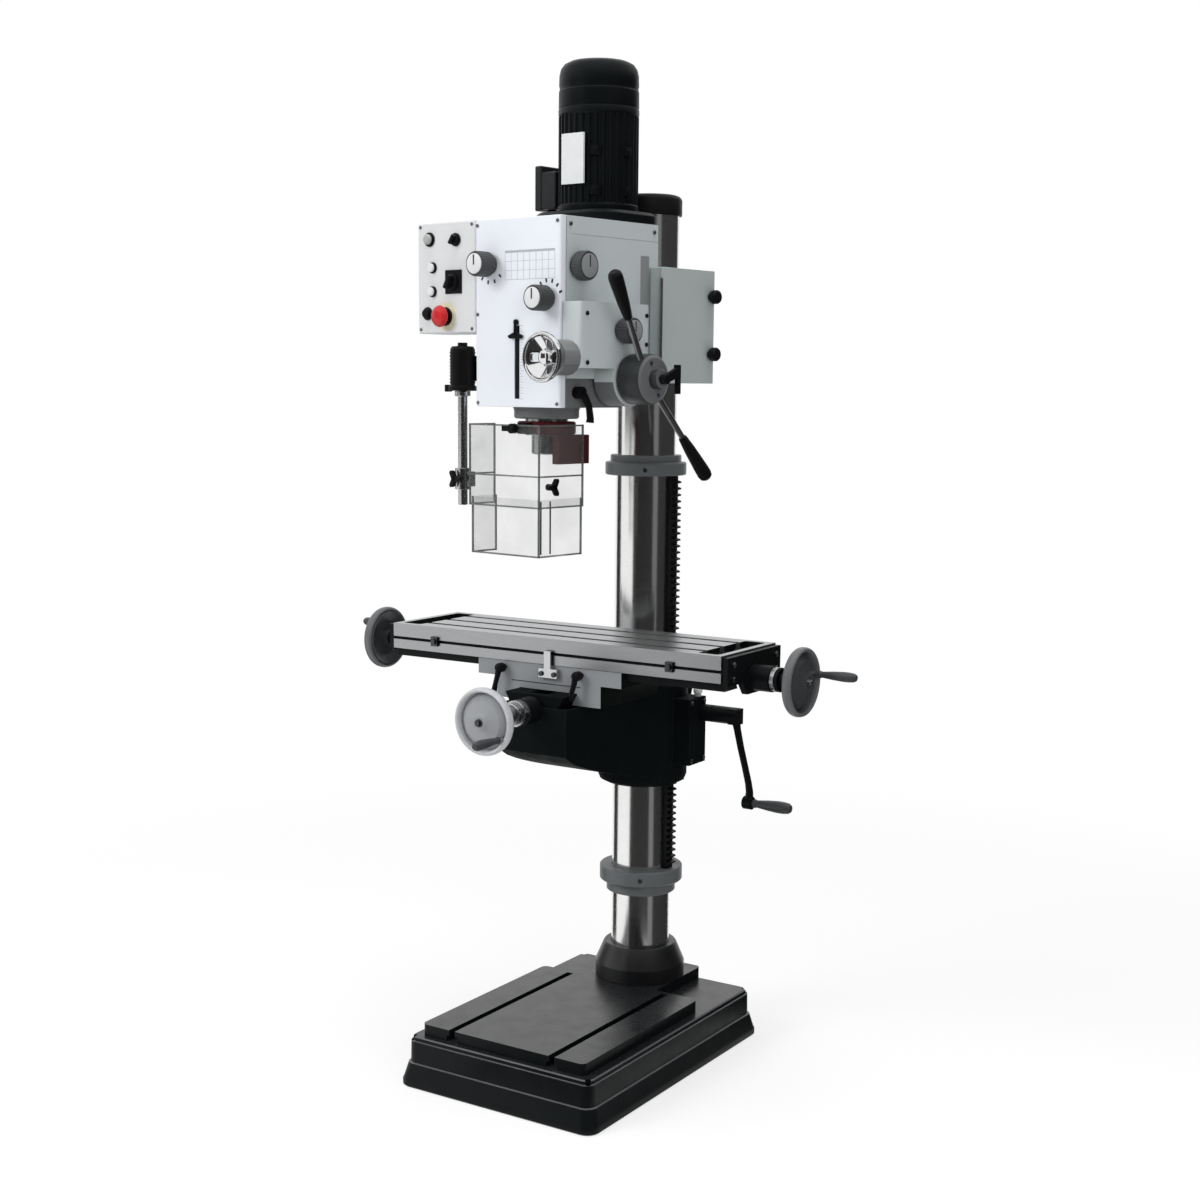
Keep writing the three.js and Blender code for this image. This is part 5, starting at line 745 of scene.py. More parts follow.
def build_head():
    head = Shell(HEAD).box(CASING.x0, CASING.x1, CASING.y0, -100, HEAD_FLOOR, HEAD_TOP).mesh("head_casting")
    fuse(head, Shell(HEAD).loft([(z, *NOSE) for z in NOSE_Z]), Shell(HEAD).lathe("z", AXIS, CLAMP_BARREL, 72),
         Shell(HEAD).box(*NECK), *(Shell(HEAD).box(*EAR, *ear) for ear in EARS_Z),
         Shell(HEAD).lathe("z", SPINDLE, QUILL_FLANGE, 72))
    carve(head, Shell(HEAD).rod("z", SPINDLE, *QUILL_BORE), Shell(HEAD).rod("z", AXIS, *COLUMN_HOLE),
          Shell(HEAD).box(*HEAD_SPLIT), Shell(HEAD).rod("z", MOTOR, *MOTOR_HOLE), Shell(HEAD).box(*DEPTH_CUT),
          Shell(HEAD).prism("x", HEAD_X - SEAM_DEEP, HEAD_X + 4, SEAM))
    finish_piece(head, HEAD_GREY, "head", 2.0, 3, 35, ("head_casing",))
    # Faces below the head's floor get the darker grey: painted shade under the head
    repaint(head, HEAD_UNDER_SHADE, lambda centre, normal: centre.z < HEAD_FLOOR + EASE, HEAD)
    Shell(HEAD).screws("x", SIDE_SCREWS, 4, HEAD_X, 2.4).piece(
        "head_side_screws", SCREW_STEEL, "head", "steel")
    Shell(HEAD).box(*OIL_PLATE).piece("oil_plate", PLATE_GREY, "head", "dark", 0.3)
    s = Shell(HEAD)
    for bolt in EAR_BOLTS:
        s.rod("x", bolt, 7, -34, 34, 24)
    s.screws("x", EAR_BOLTS, 11, 24, 8).piece("head_clamp_bolts", SCREW_STEEL, "head", "steel")


PLATE_HOLLOW, PLATE_SKIN = (-90, 90, 1430, 1600), 8
PLATE_SCREWS = [(-98, 1600), (98, 1600), (-98, 1442), (-98, 1283), (98, 1283)]
# How far print lies in and out of the face that it is on
PRINT = (PLATE.y0 - 0.25, PLATE.y0 + 0.2)
CHART_X, CHART_LINES, CHART_Z = (-29, 92), ((1502, 0.4), (1518, 0.3), (1534, 0.3), (1551, 2)), (1502.4, 1549)
CHART_COLUMNS, LINE_HALF = 8, 0.35
SCALE_FOOT, SCALE_STEP, SCALE_LINES, SCALE_LEFT, SCALE_RIGHTS = 1291, 5, 27, 8, (16, 12)
LEFT_KNOB, RIGHT_KNOB = (-66, 1530), (76, 1467)
# Centre, first and last bearing and number of the marks round each front knob
KNOB_MARKS = ((*LEFT_KNOB, 200, 320, 5), (*RIGHT_KNOB, 20, 150, 6))
MARK_OUT, MARK_HALF = (28, 35), 2
POINTER_WING = [(-14, 1398), (14, 1398), (18, 1403), (0, 1410), (-18, 1403)]
# The pointer's stem: place out of the plate, height and radius
POINTER_STEM = ((4, 1427, 3), (5, 1412, 2.6), (5, 1400, 2.6))
SLOT_SHADE = (-5.8, 5.8, PLATE.y0 + 2, PLATE.y1 + 3, 1291.2, 1420.8)


def build_front_plate():
    ends = [(z, PLATE.x0, PLATE.x1, PLATE.y0, PLATE.y1, 5) for z in (PLATE.z0, PLATE.z1)]
    plate = Shell(HEAD).loft(ends, 5).mesh("front_panel")
    x0, x1, z0, z1 = PLATE_HOLLOW
    carve(plate, Shell(HEAD).box(*DEPTH_CUT[:2], PLATE.y0 - 2, PLATE.y1 + 2, *DEPTH_CUT[4:]),
          Shell(HEAD).box(x0, x1, PLATE.y0 + PLATE_SKIN, PLATE.y1 + 2, z0, z1))
    finish_piece(plate, PANEL_WHITE, "head", 1.2, 3, 30, ("front_plate",))
    Shell(HEAD).screws("y", PLATE_SCREWS, 3.4, PLATE.y0, -1.6).piece(
        "front_panel_screws", SCREW_STEEL, "head", "steel")
    s = Shell(HEAD)
    left, right = CHART_X
    for z, half in CHART_LINES:
        s.box(left, right, *PRINT, z - half, z + half)
    for k in range(CHART_COLUMNS + 1):
        x = left + (right - left) * k / CHART_COLUMNS
        s.box(x - LINE_HALF, x + LINE_HALF, *PRINT, *CHART_Z)
    for k in range(SCALE_LINES):
        z = SCALE_FOOT + SCALE_STEP * k
        s.box(SCALE_LEFT, SCALE_RIGHTS[k % 2], *PRINT, z - LINE_HALF, z + LINE_HALF)
    s.piece("front_panel_table", PRINT_GREY, "head", "grey")
    s = Shell(HEAD)
    for x, z, first, last, count in KNOB_MARKS:
        bearings = [-first - (last - first) * k / (count - 1) for k in range(count)]
        s.around(bearings, "Y", (x, PLATE.y0, z), lambda: s.box(
            x + MARK_OUT[0], x + MARK_OUT[1], *PRINT, z - MARK_HALF, z + MARK_HALF))
    s.piece("front_panel_lines", INK, "head", "black")
    s = Shell(HEAD).prism("y", PLATE.y0 - 6, PLATE.y0 - 1, POINTER_WING)
    s.rod("y", (0, POINTER_STEM[0][1]), 5, PLATE.y0 - 5, PLATE.y0 + 4, 24)
    s.tube([(0, PLATE.y0 - out, z) for out, z, r in POINTER_STEM], [r for out, z, r in POINTER_STEM], 12)
    s.piece("depth_pointer", PLASTIC_BLACK, "head", "black", 0.4)
    Shell(HEAD).box(*SLOT_SHADE).piece("depth_slot_shade", PLASTIC_BLACK, "head", "black")


FLUTES, FLUTE_SHARE, STEM_R = 30, 0.97, 9
# Height and radius share up a knob's skirt, and then back from its face
KNOB_FOOT, KNOB_LIP = ((0, 0.78), (6, 0.78), (8, 1.0)), ((5, 1.0), (2, 0.94))
# Radius share and place from the face of a knob's disc
KNOB_DISC = ((0, -3), (0.8, -3), (0.8, -0.6), (0.74, 0), (0, 0.1))
POINTER_OUT, POINTER_SHARE = (-0.3, 0.5), (0.1, 0.7)


def round_knob(name, axis, centre, at, r, long, side, node, face_material, half, deep=20):
    """A fluted knob with a light face and a pointer line."""
    points = FLUTES * 4
    rings = []
    for h, share in (*KNOB_FOOT, *((long - back, share) for back, share in KNOB_LIP)):
        cut = [FLUTE_SHARE if i % 4 < 2 and share == 1.0 else 1.0 for i in range(points)]
        rings.append([ring_point(axis, centre, r * share * cut[i], math.tau * i / points, at + side * h)
                      for i in range(points)])
    body = f"knob_{name.split('_')[-1]}"
    Shell(HEAD).skin(rings).rod(axis, centre, STEM_R, at - side * deep, at + side * 2, 24).piece(
        f"{name}_body", PLASTIC_GREY, body, "plastic", replaces=(node,))
    disc = [(r * share, long + h) for share, h in KNOB_DISC]
    Shell(HEAD).lathe(axis, centre, disc, 56, start=at, side=side).piece(
        f"{name}_face", face_material, body, "white")
    a, b = centre
    out = [at + side * (long + h) for h in POINTER_OUT]
    low, high = b - r * POINTER_SHARE[0], b + r * POINTER_SHARE[1]
    ends = (a - half, a + half, *out) if axis == "y" else (*out, a - half, a + half)
    Shell(HEAD).box(*ends, low, high).piece(f"{name}_pointer", INK, body, "black")


def build_knobs():
    for name, centre in (("left", LEFT_KNOB), ("right", RIGHT_KNOB)):
        round_knob(f"speed_{name}", "y", centre, PLATE.y0 - 1, 22.5, 42, -1, f"speed_knob_{name}",
                   PLASTIC_WHITE, 1.5)
    round_knob("range", "x", (-326, 1524), HEAD_X + 1, 26, 30, 1, "range_knob", PLATE_GREY, 1.3, 8)
    round_knob("feed", "x", (-258, 1413), 151, 23, 34, 1, "feed_knob", PLATE_GREY, 1.3, 5)


FEED_SCREWS = [(-350, 1441), (-349, 1356), (-187, 1441.5), (-187, 1390)]
HUB = [(0, 152), (41, 152), (44, 154), (45, 157), (45, 198), (43, 203), (38, 206), (20, 206), (18, 207),
       (18, 220), (16, 222), (0, 222)]
HUB_SCREW, HUB_STEP, HUB_FLAT = [(FEED[0], FEED[1] + 30)], 200, 0.8
CASE_LOW, CASE_SLOPE = FEED[1] + 20, 0.2
LEVER_X, LEVER_LEAN = 188, 9
# Radius and distance from the hub's axis along a lever's bar and its grip
LEVER_BAR = [(0, 30), (6, 30), (6.5, 44), (6, 46), (5.4, 134), (0, 134)]
LEVER_GRIP = [(0, 132), (7, 132), (8, 134), (10.5, 160), (13, 205), (13.2, 218), (11.5, 225), (7, 229),
              (0, 229)]
LEVERS = (("upper", "front", 37), ("lower", "back", 217))


def build_feed():
    case = clone("feed_case", "feed_case_casting", HEAD_GREY, 1.6, 3)
    repaint(case, HEAD_SHADE, lambda centre, normal: centre.y < PLATE.y0 + EASE, HEAD)
    # Downward faces low on the feed case get the same painted shade
    repaint(case, HEAD_UNDER_SHADE, lambda centre, normal: normal.z < -CASE_SLOPE and centre.z < CASE_LOW, HEAD)
    Shell(HEAD).screws("x", FEED_SCREWS, 4, 150, 2.6).piece("feed_case_screws", DARK_STEEL, "head", "black")
    s = Shell(HEAD).lathe("x", FEED, HUB, 80).rod("x", FEED, 12, -80, 153, 32)
    drum = s.rod("x", FEED, 22, -14, 14, 32).piece(
        "feed_hub_drum", HUB_GREY, "feed_hub", "dark", replaces=("feed_hub",))
    repaint(drum, HUB_FACE, lambda centre, normal: normal.x > HUB_FLAT and centre.x > HUB_STEP, HEAD)
    s = Shell(HEAD)
    s.around((20, 200), "X", (0, *FEED), lambda: s.screws("x", HUB_SCREW, 4, 206, 1.5))
    s.piece("feed_hub_screws", INK, "feed_hub", "black")
    for name, node, turn in LEVERS:
        for part, material, profile in (("bar", SCREW_STEEL, LEVER_BAR), ("grip", PLASTIC_BLACK, LEVER_GRIP)):
            at = (LEVER_X, *FEED)
            s = Shell(HEAD).lathe("z", at[:2], profile, 40, start=FEED[1])
            s.turned_by(LEVER_LEAN, "Y", at).turned_by(turn, "X", at)
            s.piece(f"feed_lever_{name}_{part}", material, "feed_hub", "black",
                    replaces=(f"feed_lever_{node}",))
    clone("feed_clutch_lever", "clutch_lever", SATIN_BLACK, 1.2)


FINE, FINE_Y, FINE_R = (120, 1364), -428, 44
FINE_FRONT = [(0, -4), (9, -4), (12, -2), (13, 8), (FINE_R - 8, -5)]
FINE_BACK = [(FINE_R - 10, 4), (20, 12), (12, 12), (0, 12)]
FINE_RIM_R, FINE_RIM_HALF, FINE_RIM_FRONT = 3.5, 6, 5
FINE_HOLE = (FINE[0] + 13, FINE[0] + FINE_R - 12, FINE[1] - 8, FINE[1] + 8, 6, 5)


def build_fine_wheel():
    rim = [(FINE_R - FINE_RIM_R + FINE_RIM_R * math.cos(t), -FINE_RIM_FRONT - FINE_RIM_HALF * math.sin(t))
           for t in (math.radians(a) for a in range(160, -161, -20))]
    obj = Shell(HEAD).lathe("y", FINE, FINE_FRONT + rim + FINE_BACK, 96, start=FINE_Y).mesh("fine_wheel_dish")
    for t in (60, 180, 300):
        tool = Shell(HEAD).prism("y", FINE_Y - 30, FINE_Y + 30, rounded(*FINE_HOLE))
        carve(obj, tool.turned_by(t, "Y", (FINE[0], FINE_Y, FINE[1])))
    finish_piece(obj, CHROME, "fine_feed", 0.5, 2, 40, ("fine_feed_wheel",))
    Shell(HEAD).rod("y", FINE, 16, FINE_Y + 8, -406.5, 48, 1).rod("y", FINE, 8, -410, FEED[0] - 20, 24).piece(
        "fine_wheel_hub", TURNED_STEEL, "fine_feed", "steel")


FLANGE_FOOT, FLANGE_EDGE = (-98, 98, -246, -64, 50), (-92, 92, -240, -70, 46)
FLANGE = ((HEAD_TOP + 0.3, *FLANGE_FOOT), (1626, *FLANGE_FOOT), (1632, *FLANGE_EDGE))
FINS, FIN_Z = 34, (1631, 1806)
# Place of a fin's corners as a share of its pitch, and their radius
FIN = ((-0.30, 71), (-0.12, 74.6), (0.12, 74.6), (0.30, 71))
MOTOR_ENDS = ([(0, 1804), (72, 1804), (75, 1808), (75, 1817), (74, 1820), (0, 1820)],
              [(0, 1630), (74, 1630), (76, 1634), (76, 1644), (72, 1648), (0, 1648)])
COWL = [(70, 1820.3), (74, 1820.3), (74.6, 1822), (74.2, 1850), (73, 1852), (73, 1858), (74, 1860),
        (73.6, 1878), (71, 1889), (65, 1897.5), (54, 1903), (0, 1904), (0, 1900.4), (52, 1899), (62, 1894),
        (67, 1886), (70, 1875)]
COWL_RINGS, COWL_RING_WIDE = (14, 22, 30, 38, 46), 2.4
LUG_X, LUG_HALF, LUG_Z, LUG_TURNS = (68, 79), 8, (1668, 1738), (-55, -5, 178, 90)
MOTOR_PLATE = (72, 76.4, MOTOR[1] - 26, MOTOR[1] + 26, 1680, 1770)
TERMINAL = (-125, -75.4, MOTOR[1] - 36, MOTOR[1] + 34, 1643, 1712)
TERMINAL_LID = (-127, -110, MOTOR[1] - 38, MOTOR[1] + 36, 1641, 1724)
GLANDS = ((-100, MOTOR[1] - 18), (-100, MOTOR[1] + 14))


def build_motor():
    x, y = MOTOR
    Shell(HEAD).loft(FLANGE, 8).piece("motor_flange", MOTOR_BLACK, "head", "black", 1.2)
    ring = []
    for i in range(FINS):
        for share, r in FIN:
            t = math.tau * (i + share) / FINS
            ring.append((r * math.cos(t), y + r * math.sin(t)))
    s = Shell(HEAD).prism("z", *FIN_Z, ring)
    for profile in MOTOR_ENDS:
        s.lathe("z", MOTOR, profile, 80)
    s.piece("motor_frame", MOTOR_BLACK, "head", "black", 0.8, replaces=("motor_body",))
    Shell(HEAD).lathe("z", MOTOR, COWL, 96, loop=True).piece(
        "fan_cowl", MOTOR_BLACK, "head", "plastic", replaces=("motor_fan_cover",))
    s = Shell(HEAD)
    for r in COWL_RINGS:
        s.tube_wall("z", MOTOR, r, r + COWL_RING_WIDE, 1903.0 - r * 0.01, 1904 - r * 0.012, 48)
    s.piece("fan_cowl_rings", MOTOR_BLACK, "head", "plastic")
    s = Shell(HEAD)
    for turn in LUG_TURNS:
        for z in LUG_Z:
            lug = (*LUG_X, y - LUG_HALF, y + LUG_HALF, z - LUG_HALF, z + LUG_HALF)
            s.around((turn,), "Z", (x, y, z), lambda: s.box(*lug).rod("x", (y, z), 4.5, 78, 81, 24))
    s.piece("motor_lugs", MOTOR_BLACK, "head", "black", 1.2)
    Shell(HEAD).box(*MOTOR_PLATE).turned_by(-88, "Z", (x, y, 0)).piece(
        "motor_plate", PLASTIC_WHITE, "head", "white", 0.4)
    Shell(HEAD).box(*TERMINAL).box(*TERMINAL_LID).piece(
        "terminal_case", PLASTIC_DARK, "head", "plastic", 3, 3, replaces=("terminal_box",))
    s = Shell(HEAD)
    for gland in GLANDS:
        s.rod("z", gland, 9, 1635, 1643.5, 24)
    s.piece("terminal_glands", PLASTIC_BLACK, "head", "plastic", 0.8)


# Control box: places on its face in x and z, and the profile of each part out of the face
PANEL_Y = -370
CONTROL = (-256, -104.8, PANEL_Y, -282, 1409, 1612)
PANEL_SCREWS = [(-248, 1604), (-113, 1604), (-248, 1417), (-113, 1417)]
LAMP, MODE, BUTTONS, RESET = (-223, 1581), (-154, 1578), ((-215, 1529.5), (-215.5, 1486)), (-229, 1446)
STOP, MAINS = (-181, 1440), (-162, 1502)
BEZELS = ((LAMP, 13), (MODE, 12), (BUTTONS[0], 10), (BUTTONS[1], 10), (RESET, 12), (STOP, 17))
# A bezel's outline: share of its radius, what is added to it, place out of the face
BEZEL = ((0, 0, -1), (1, 0, -1), (1, 0, 3), (1, -2, 5), (1, -2.5, 5), (0, 0, 5))
SWITCH_FRAME = (-181, -139, PANEL_Y - 2.5, PANEL_Y + 1, 1481, 1524)
SHIELD = [(0, -0.5), (26, -0.5), (26, 0.8), (0, 0.8)]
LAMP_CAP = [(0, 3), (9.5, 3), (9.5, 8), (7, 11), (0, 12)]
BUTTON = [(0, 3), (7.8, 3), (7.8, 8), (6.8, 9), (0, 9)]
RESET_CAP = [(0, 3), (9, 3), (9, 7), (8, 8.5), (0, 8.5)]
MODE_CAP = [(0, 3), (9, 3), (9, 8), (8, 9), (0, 9)]
# A switch's bar: half its width, near and far end out of the face, half its height, turn
MODE_BAR, MAINS_BAR = (3, 8, 15, 9, 35), (4, 7, 19, 13, 28)
MAINS_CAP = [(0, 2), (15, 2), (15, 6), (13, 8), (0, 8)]
MUSHROOM = [(0, 26), (9, 26), (15, 24), (19, 20), (20, 17), (18.5, 13.5), (14, 12), (0, 12)]


def build_control_box():
    def add(shell, at, profile, segments=48):
        return shell.lathe("y", at, profile, segments, start=PANEL_Y, side=-1)

    def bar(shell, x, z, half, near, far, half_z, turn):
        box = (x - half, x + half, PANEL_Y - far, PANEL_Y - near, z - half_z, z + half_z)
        return shell.around((turn,), "Y", (x, PANEL_Y, z), lambda: shell.box(*box))

    Shell(HEAD).box(*CONTROL).piece("control_case", BOX_GREY, "head", "grey", 4, 4, replaces=("control_box",))
    Shell(HEAD).screws("y", PANEL_SCREWS, 3.2, PANEL_Y, -1.4).piece(
        "control_screws", SCREW_STEEL, "head", "steel")
    s = Shell(HEAD)
    for at, r in BEZELS:
        add(s, at, [(r * share + less, out) for share, less, out in BEZEL])
    s.box(*SWITCH_FRAME).piece("control_bezels", PLASTIC_BLACK, "head", "plastic", 0.5)
    add(Shell(HEAD), STOP, SHIELD, 64).piece("stop_shield_disc", STOP_SHIELD, "head", "white")
    add(Shell(HEAD), LAMP, LAMP_CAP).piece("control_lamp", LAMP_GREY, "head", "white")
    s = Shell(HEAD)
    for at in BUTTONS:
        add(s, at, BUTTON, 40)
    s.piece("control_buttons", PLASTIC_WHITE, "head", "white")
    s = add(add(Shell(HEAD), RESET, RESET_CAP, 40), MODE, MODE_CAP, 40)
    bar(s, *MODE, *MODE_BAR).piece("control_black_buttons", PLASTIC_BLACK, "head", "plastic", 0.6)
    bar(add(Shell(HEAD), MAINS, MAINS_CAP), *MAINS, *MAINS_BAR).piece(
        "mains_switch_handle", PLASTIC_BLACK, "mains", "plastic", 1.2, 3, replaces=("mains_switch",))
    add(Shell(HEAD), STOP, MUSHROOM, 64).rod("y", STOP, 8, PANEL_Y - 13, PANEL_Y + 6, 24).piece(
        "stop_mushroom", STOP_RED, "stop", "red", replaces=("stop_button",))


DOOR, DOOR_KNOBS = (136.3, 140, -131, 29, 1321, 1532), ((14, 1483), (14, 1376))
DOOR_KNOB = [(0, 140), (6, 140), (6, 145), (12, 147), (13, 149), (13, 158), (11, 161), (0, 162)]
HINGE, HINGE_Z = (138.8, -131), (1341, 1512)
GEAR_PLATE, RAIL_Y, RAILS_Z = (109.1, 111, -112, 14, 1337, 1516), (-106, 8), (1375, 1470)
# The rail's flanges and web: x ends, and z ends from the rail's middle
RAIL = ((110.8, 117, -17, -13), (110.8, 117, 13, 17), (116, 117.2, -17, 17))
# A contactor's body and cap: x ends, y ends from its place, z ends
CONTACTORS_Y, CONTACTOR = (-96, -48), ((117, 127, 0, 40, 1438, 1502), (127, 133, 4, 36, 1452, 1488))
RELAY = (117, 130, 0, 6, 1445, 1495)
TERMINALS, TERMINAL_X, TERMINAL_Y, TERMINAL_Z = 9, (117, 128), -100, (1355, 1395)
TERMINAL_PITCH, TERMINAL_WIDE = 11, 9.5


def build_electric_box():
    clone("electric_box", "electric_case", DOOR_GREY, 1.5, 3)
    Shell(HEAD).box(*DOOR).piece(
        "electric_door_panel", DOOR_GREY, "door", "grey", 1.2, 3, replaces=("electric_door",))
    s = Shell(HEAD)
    for at in DOOR_KNOBS:
        s.lathe("x", at, DOOR_KNOB, 48)
    s.piece("electric_door_knobs", PLASTIC_BLACK, "door", "plastic", 0.5)
    Shell(HEAD).rod("z", HINGE, 3, *HINGE_Z, 24).piece("electric_door_hinge", SCREW_STEEL, "door", "steel")
    s = Shell(HEAD).box(*GEAR_PLATE)
    for z in RAILS_Z:
        for x0, x1, low, high in RAIL:
            s.box(x0, x1, *RAIL_Y, z + low, z + high)
    s.piece("switchgear_plate", BOX_GREY, "head", "grey", 0.4)
    s = Shell(HEAD)
    for y in CONTACTORS_Y:
        for x0, x1, a, b, z0, z1 in CONTACTOR:
            s.box(x0, x1, y + a, y + b, z0, z1)
    s.box(*RELAY).piece("contactors", PLASTIC_GREY, "head", "plastic", 1)
    s = Shell(HEAD)
    for k in range(TERMINALS):
        y = TERMINAL_Y + TERMINAL_PITCH * k
        s.box(*TERMINAL_X, y, y + TERMINAL_WIDE, *TERMINAL_Z)
    s.piece("terminal_row", PLASTIC_WHITE, "head", "white", 0.6)


COLLAR_RING = [(40.3, 1227), (51, 1227), (54, 1229), (54, 1248), (52, 1250), (40.3, 1250)]
COLLAR_BLOCK = (14, 51, SPINDLE[1] - 22, SPINDLE[1] + 62, 1173, 1226)
CLAMP_AT, CLAMP_BLOCK = (0, 1238), (-12, 12, SPINDLE[1] - 66, SPINDLE[1] - 46, 1228, 1248)
CLAMP_BAR = (-22, 2, SPINDLE[1] - 97, SPINDLE[1] - 92, 1233, 1243)
# The clamp's rod and knob lie this far in front of the spindle
CLAMP_ROD, CLAMP_KNOB = (88, 60), [(0, 98), (7, 98), (9, 96), (9, 84), (7, 82), (0, 82)]
# Places along the quill lock's handle, and its radii there
LOCK_BEND = ((108, -318, 1303, 9), (110, -310, 1296, 7.5), (112, -300, 1280, 6), (113, -297, 1258, 6.5),
             (113, -298, 1250, 7.5))


def build_quill():
    clone("quill", "quill_sleeve", TURNED_STEEL, 0.3)
    Shell(HEAD).lathe("z", SPINDLE, COLLAR_RING, 72, loop=True).piece(
        "quill_collar_ring", MAROON, "quill", "maroon", replaces=("quill_collar",))
    block = Shell(HEAD).box(*COLLAR_BLOCK).mesh("quill_collar_block")
    carve(block, Shell(HEAD).rod("z", SPINDLE, 40.4, 1100, 1300, 64))
    finish_piece(block, MAROON, "quill", 2, 3)
    y = SPINDLE[1]
    s = Shell(HEAD).box(*CLAMP_BLOCK).rod("y", CLAMP_AT, 4, *(y - out for out in CLAMP_ROD), 24)
    s.lathe("y", CLAMP_AT, CLAMP_KNOB, 32, start=y, side=-1).box(*CLAMP_BAR).piece(
        "quill_clamp_screw", SATIN_BLACK, "quill", "black", 1)
    clone("spindle", "spindle_turned", TURNED_STEEL, 0.3)
    s = Shell(HEAD).rod("x", (-318, 1303), 11, 96.3, 114, 40, 1)
    s.tube([spot[:3] for spot in LOCK_BEND], [spot[3] for spot in LOCK_BEND])
    s.piece("quill_lock_handle", PLASTIC_BLACK, "quill_lock", "black", replaces=("quill_lock_lever",))


# Guard
POST = (-140, -368)
HOUSING = [(9.4, 1304), (26, 1304), (26, 1312), (23, 1314), (23, 1380), (20, 1385), (9, 1386), (9, 1392),
           (0.5, 1392), (0.5, 1380), (9.4, 1380)]
HOUSING_ARM = (POST[0], -104.8, -350, -326, 1322, 1368)
HOUSING_WING = (POST[0] - 40, POST[0], POST[1] - 6, POST[1] + 6, 1304, 1313)
RIBS, RIB_FOOT, RIB_PITCH, RIB_HIGH = 10, 1318, 6, 3
SHEET_THICK, SHEET_GAP = 3, 0.1
# Left, right, front, right and left rear ends, foot and top of the two shields
UPPER = (-117, 60, -375, -256, -309, 1095, 1245)
SHIELD_STEP = SHEET_THICK + 0.5
LOWER = (UPPER[0] + SHIELD_STEP, UPPER[1] - SHIELD_STEP, UPPER[2] + SHIELD_STEP, *UPPER[3:5], 1006, 1111)
EDGE_HIGH, EDGE_OUT, CROSS_STRIP_Z = 3, 0.6, 1151
CORNER_IN, CORNER_R = 1.2, 2.1
END_OUT, END_INSIDE, END_PAST = 0.4, 1, 1.5
CLAMP_WALL = (9.3, 15, 1122, 1162)
CLAMP_ARM = (POST[0] + 10, UPPER[0] + 2, POST[1] - 4, POST[1] + 8, 1128, 1156)
WING_SCREWS = (("y", -138, 1142, -375, -396), ("x", -353, 1134, UPPER[1] + 0.2, UPPER[1] + 20))
WING = ((-5, 0), (5, 0), (4, 15), (0, 18), (-4, 15))
WING_SHARE, WING_TURNS = 0.4, (90, 210, 330)
SLIDES_Y, SLIDE_HALF, SLIDE_Z = (-366, -341), 1.8, (1012, 1108)
SLIDE_X = (LOWER[1] - 0.2, LOWER[1] + 0.3)


def shield(name, body, node, ends):
    """A front sheet and two side sheets round the spindle."""
    x0, x1, front, right, left, z0, z1 = ends
    inner = front + SHEET_THICK + SHEET_GAP
    Shell(HEAD).box(x0, x1, front, front + SHEET_THICK, z0, z1).box(
        x1 - SHEET_THICK, x1, inner, right, z0, z1).box(x0, x0 + SHEET_THICK, inner, left, z0, z1).piece(
        name, SHEET, body, "clear", 0.5, replaces=(node,))


def shield_edges(shell, ends):
    """The dark lines of a shield's upright edges: two round corners and two rear ends."""
    x0, x1, front, right, left, z0, z1 = ends
    for x in (x0 + CORNER_IN, x1 - CORNER_IN):
        shell.rod("z", (x, front + CORNER_IN), CORNER_R, z0, z1, 16)
    return shell.box(x1 - SHEET_THICK, x1 + END_OUT, right - END_INSIDE, right + END_PAST, z0, z1).box(
        x0 - END_OUT, x0 + SHEET_THICK, left - END_INSIDE, left + END_PAST, z0, z1)


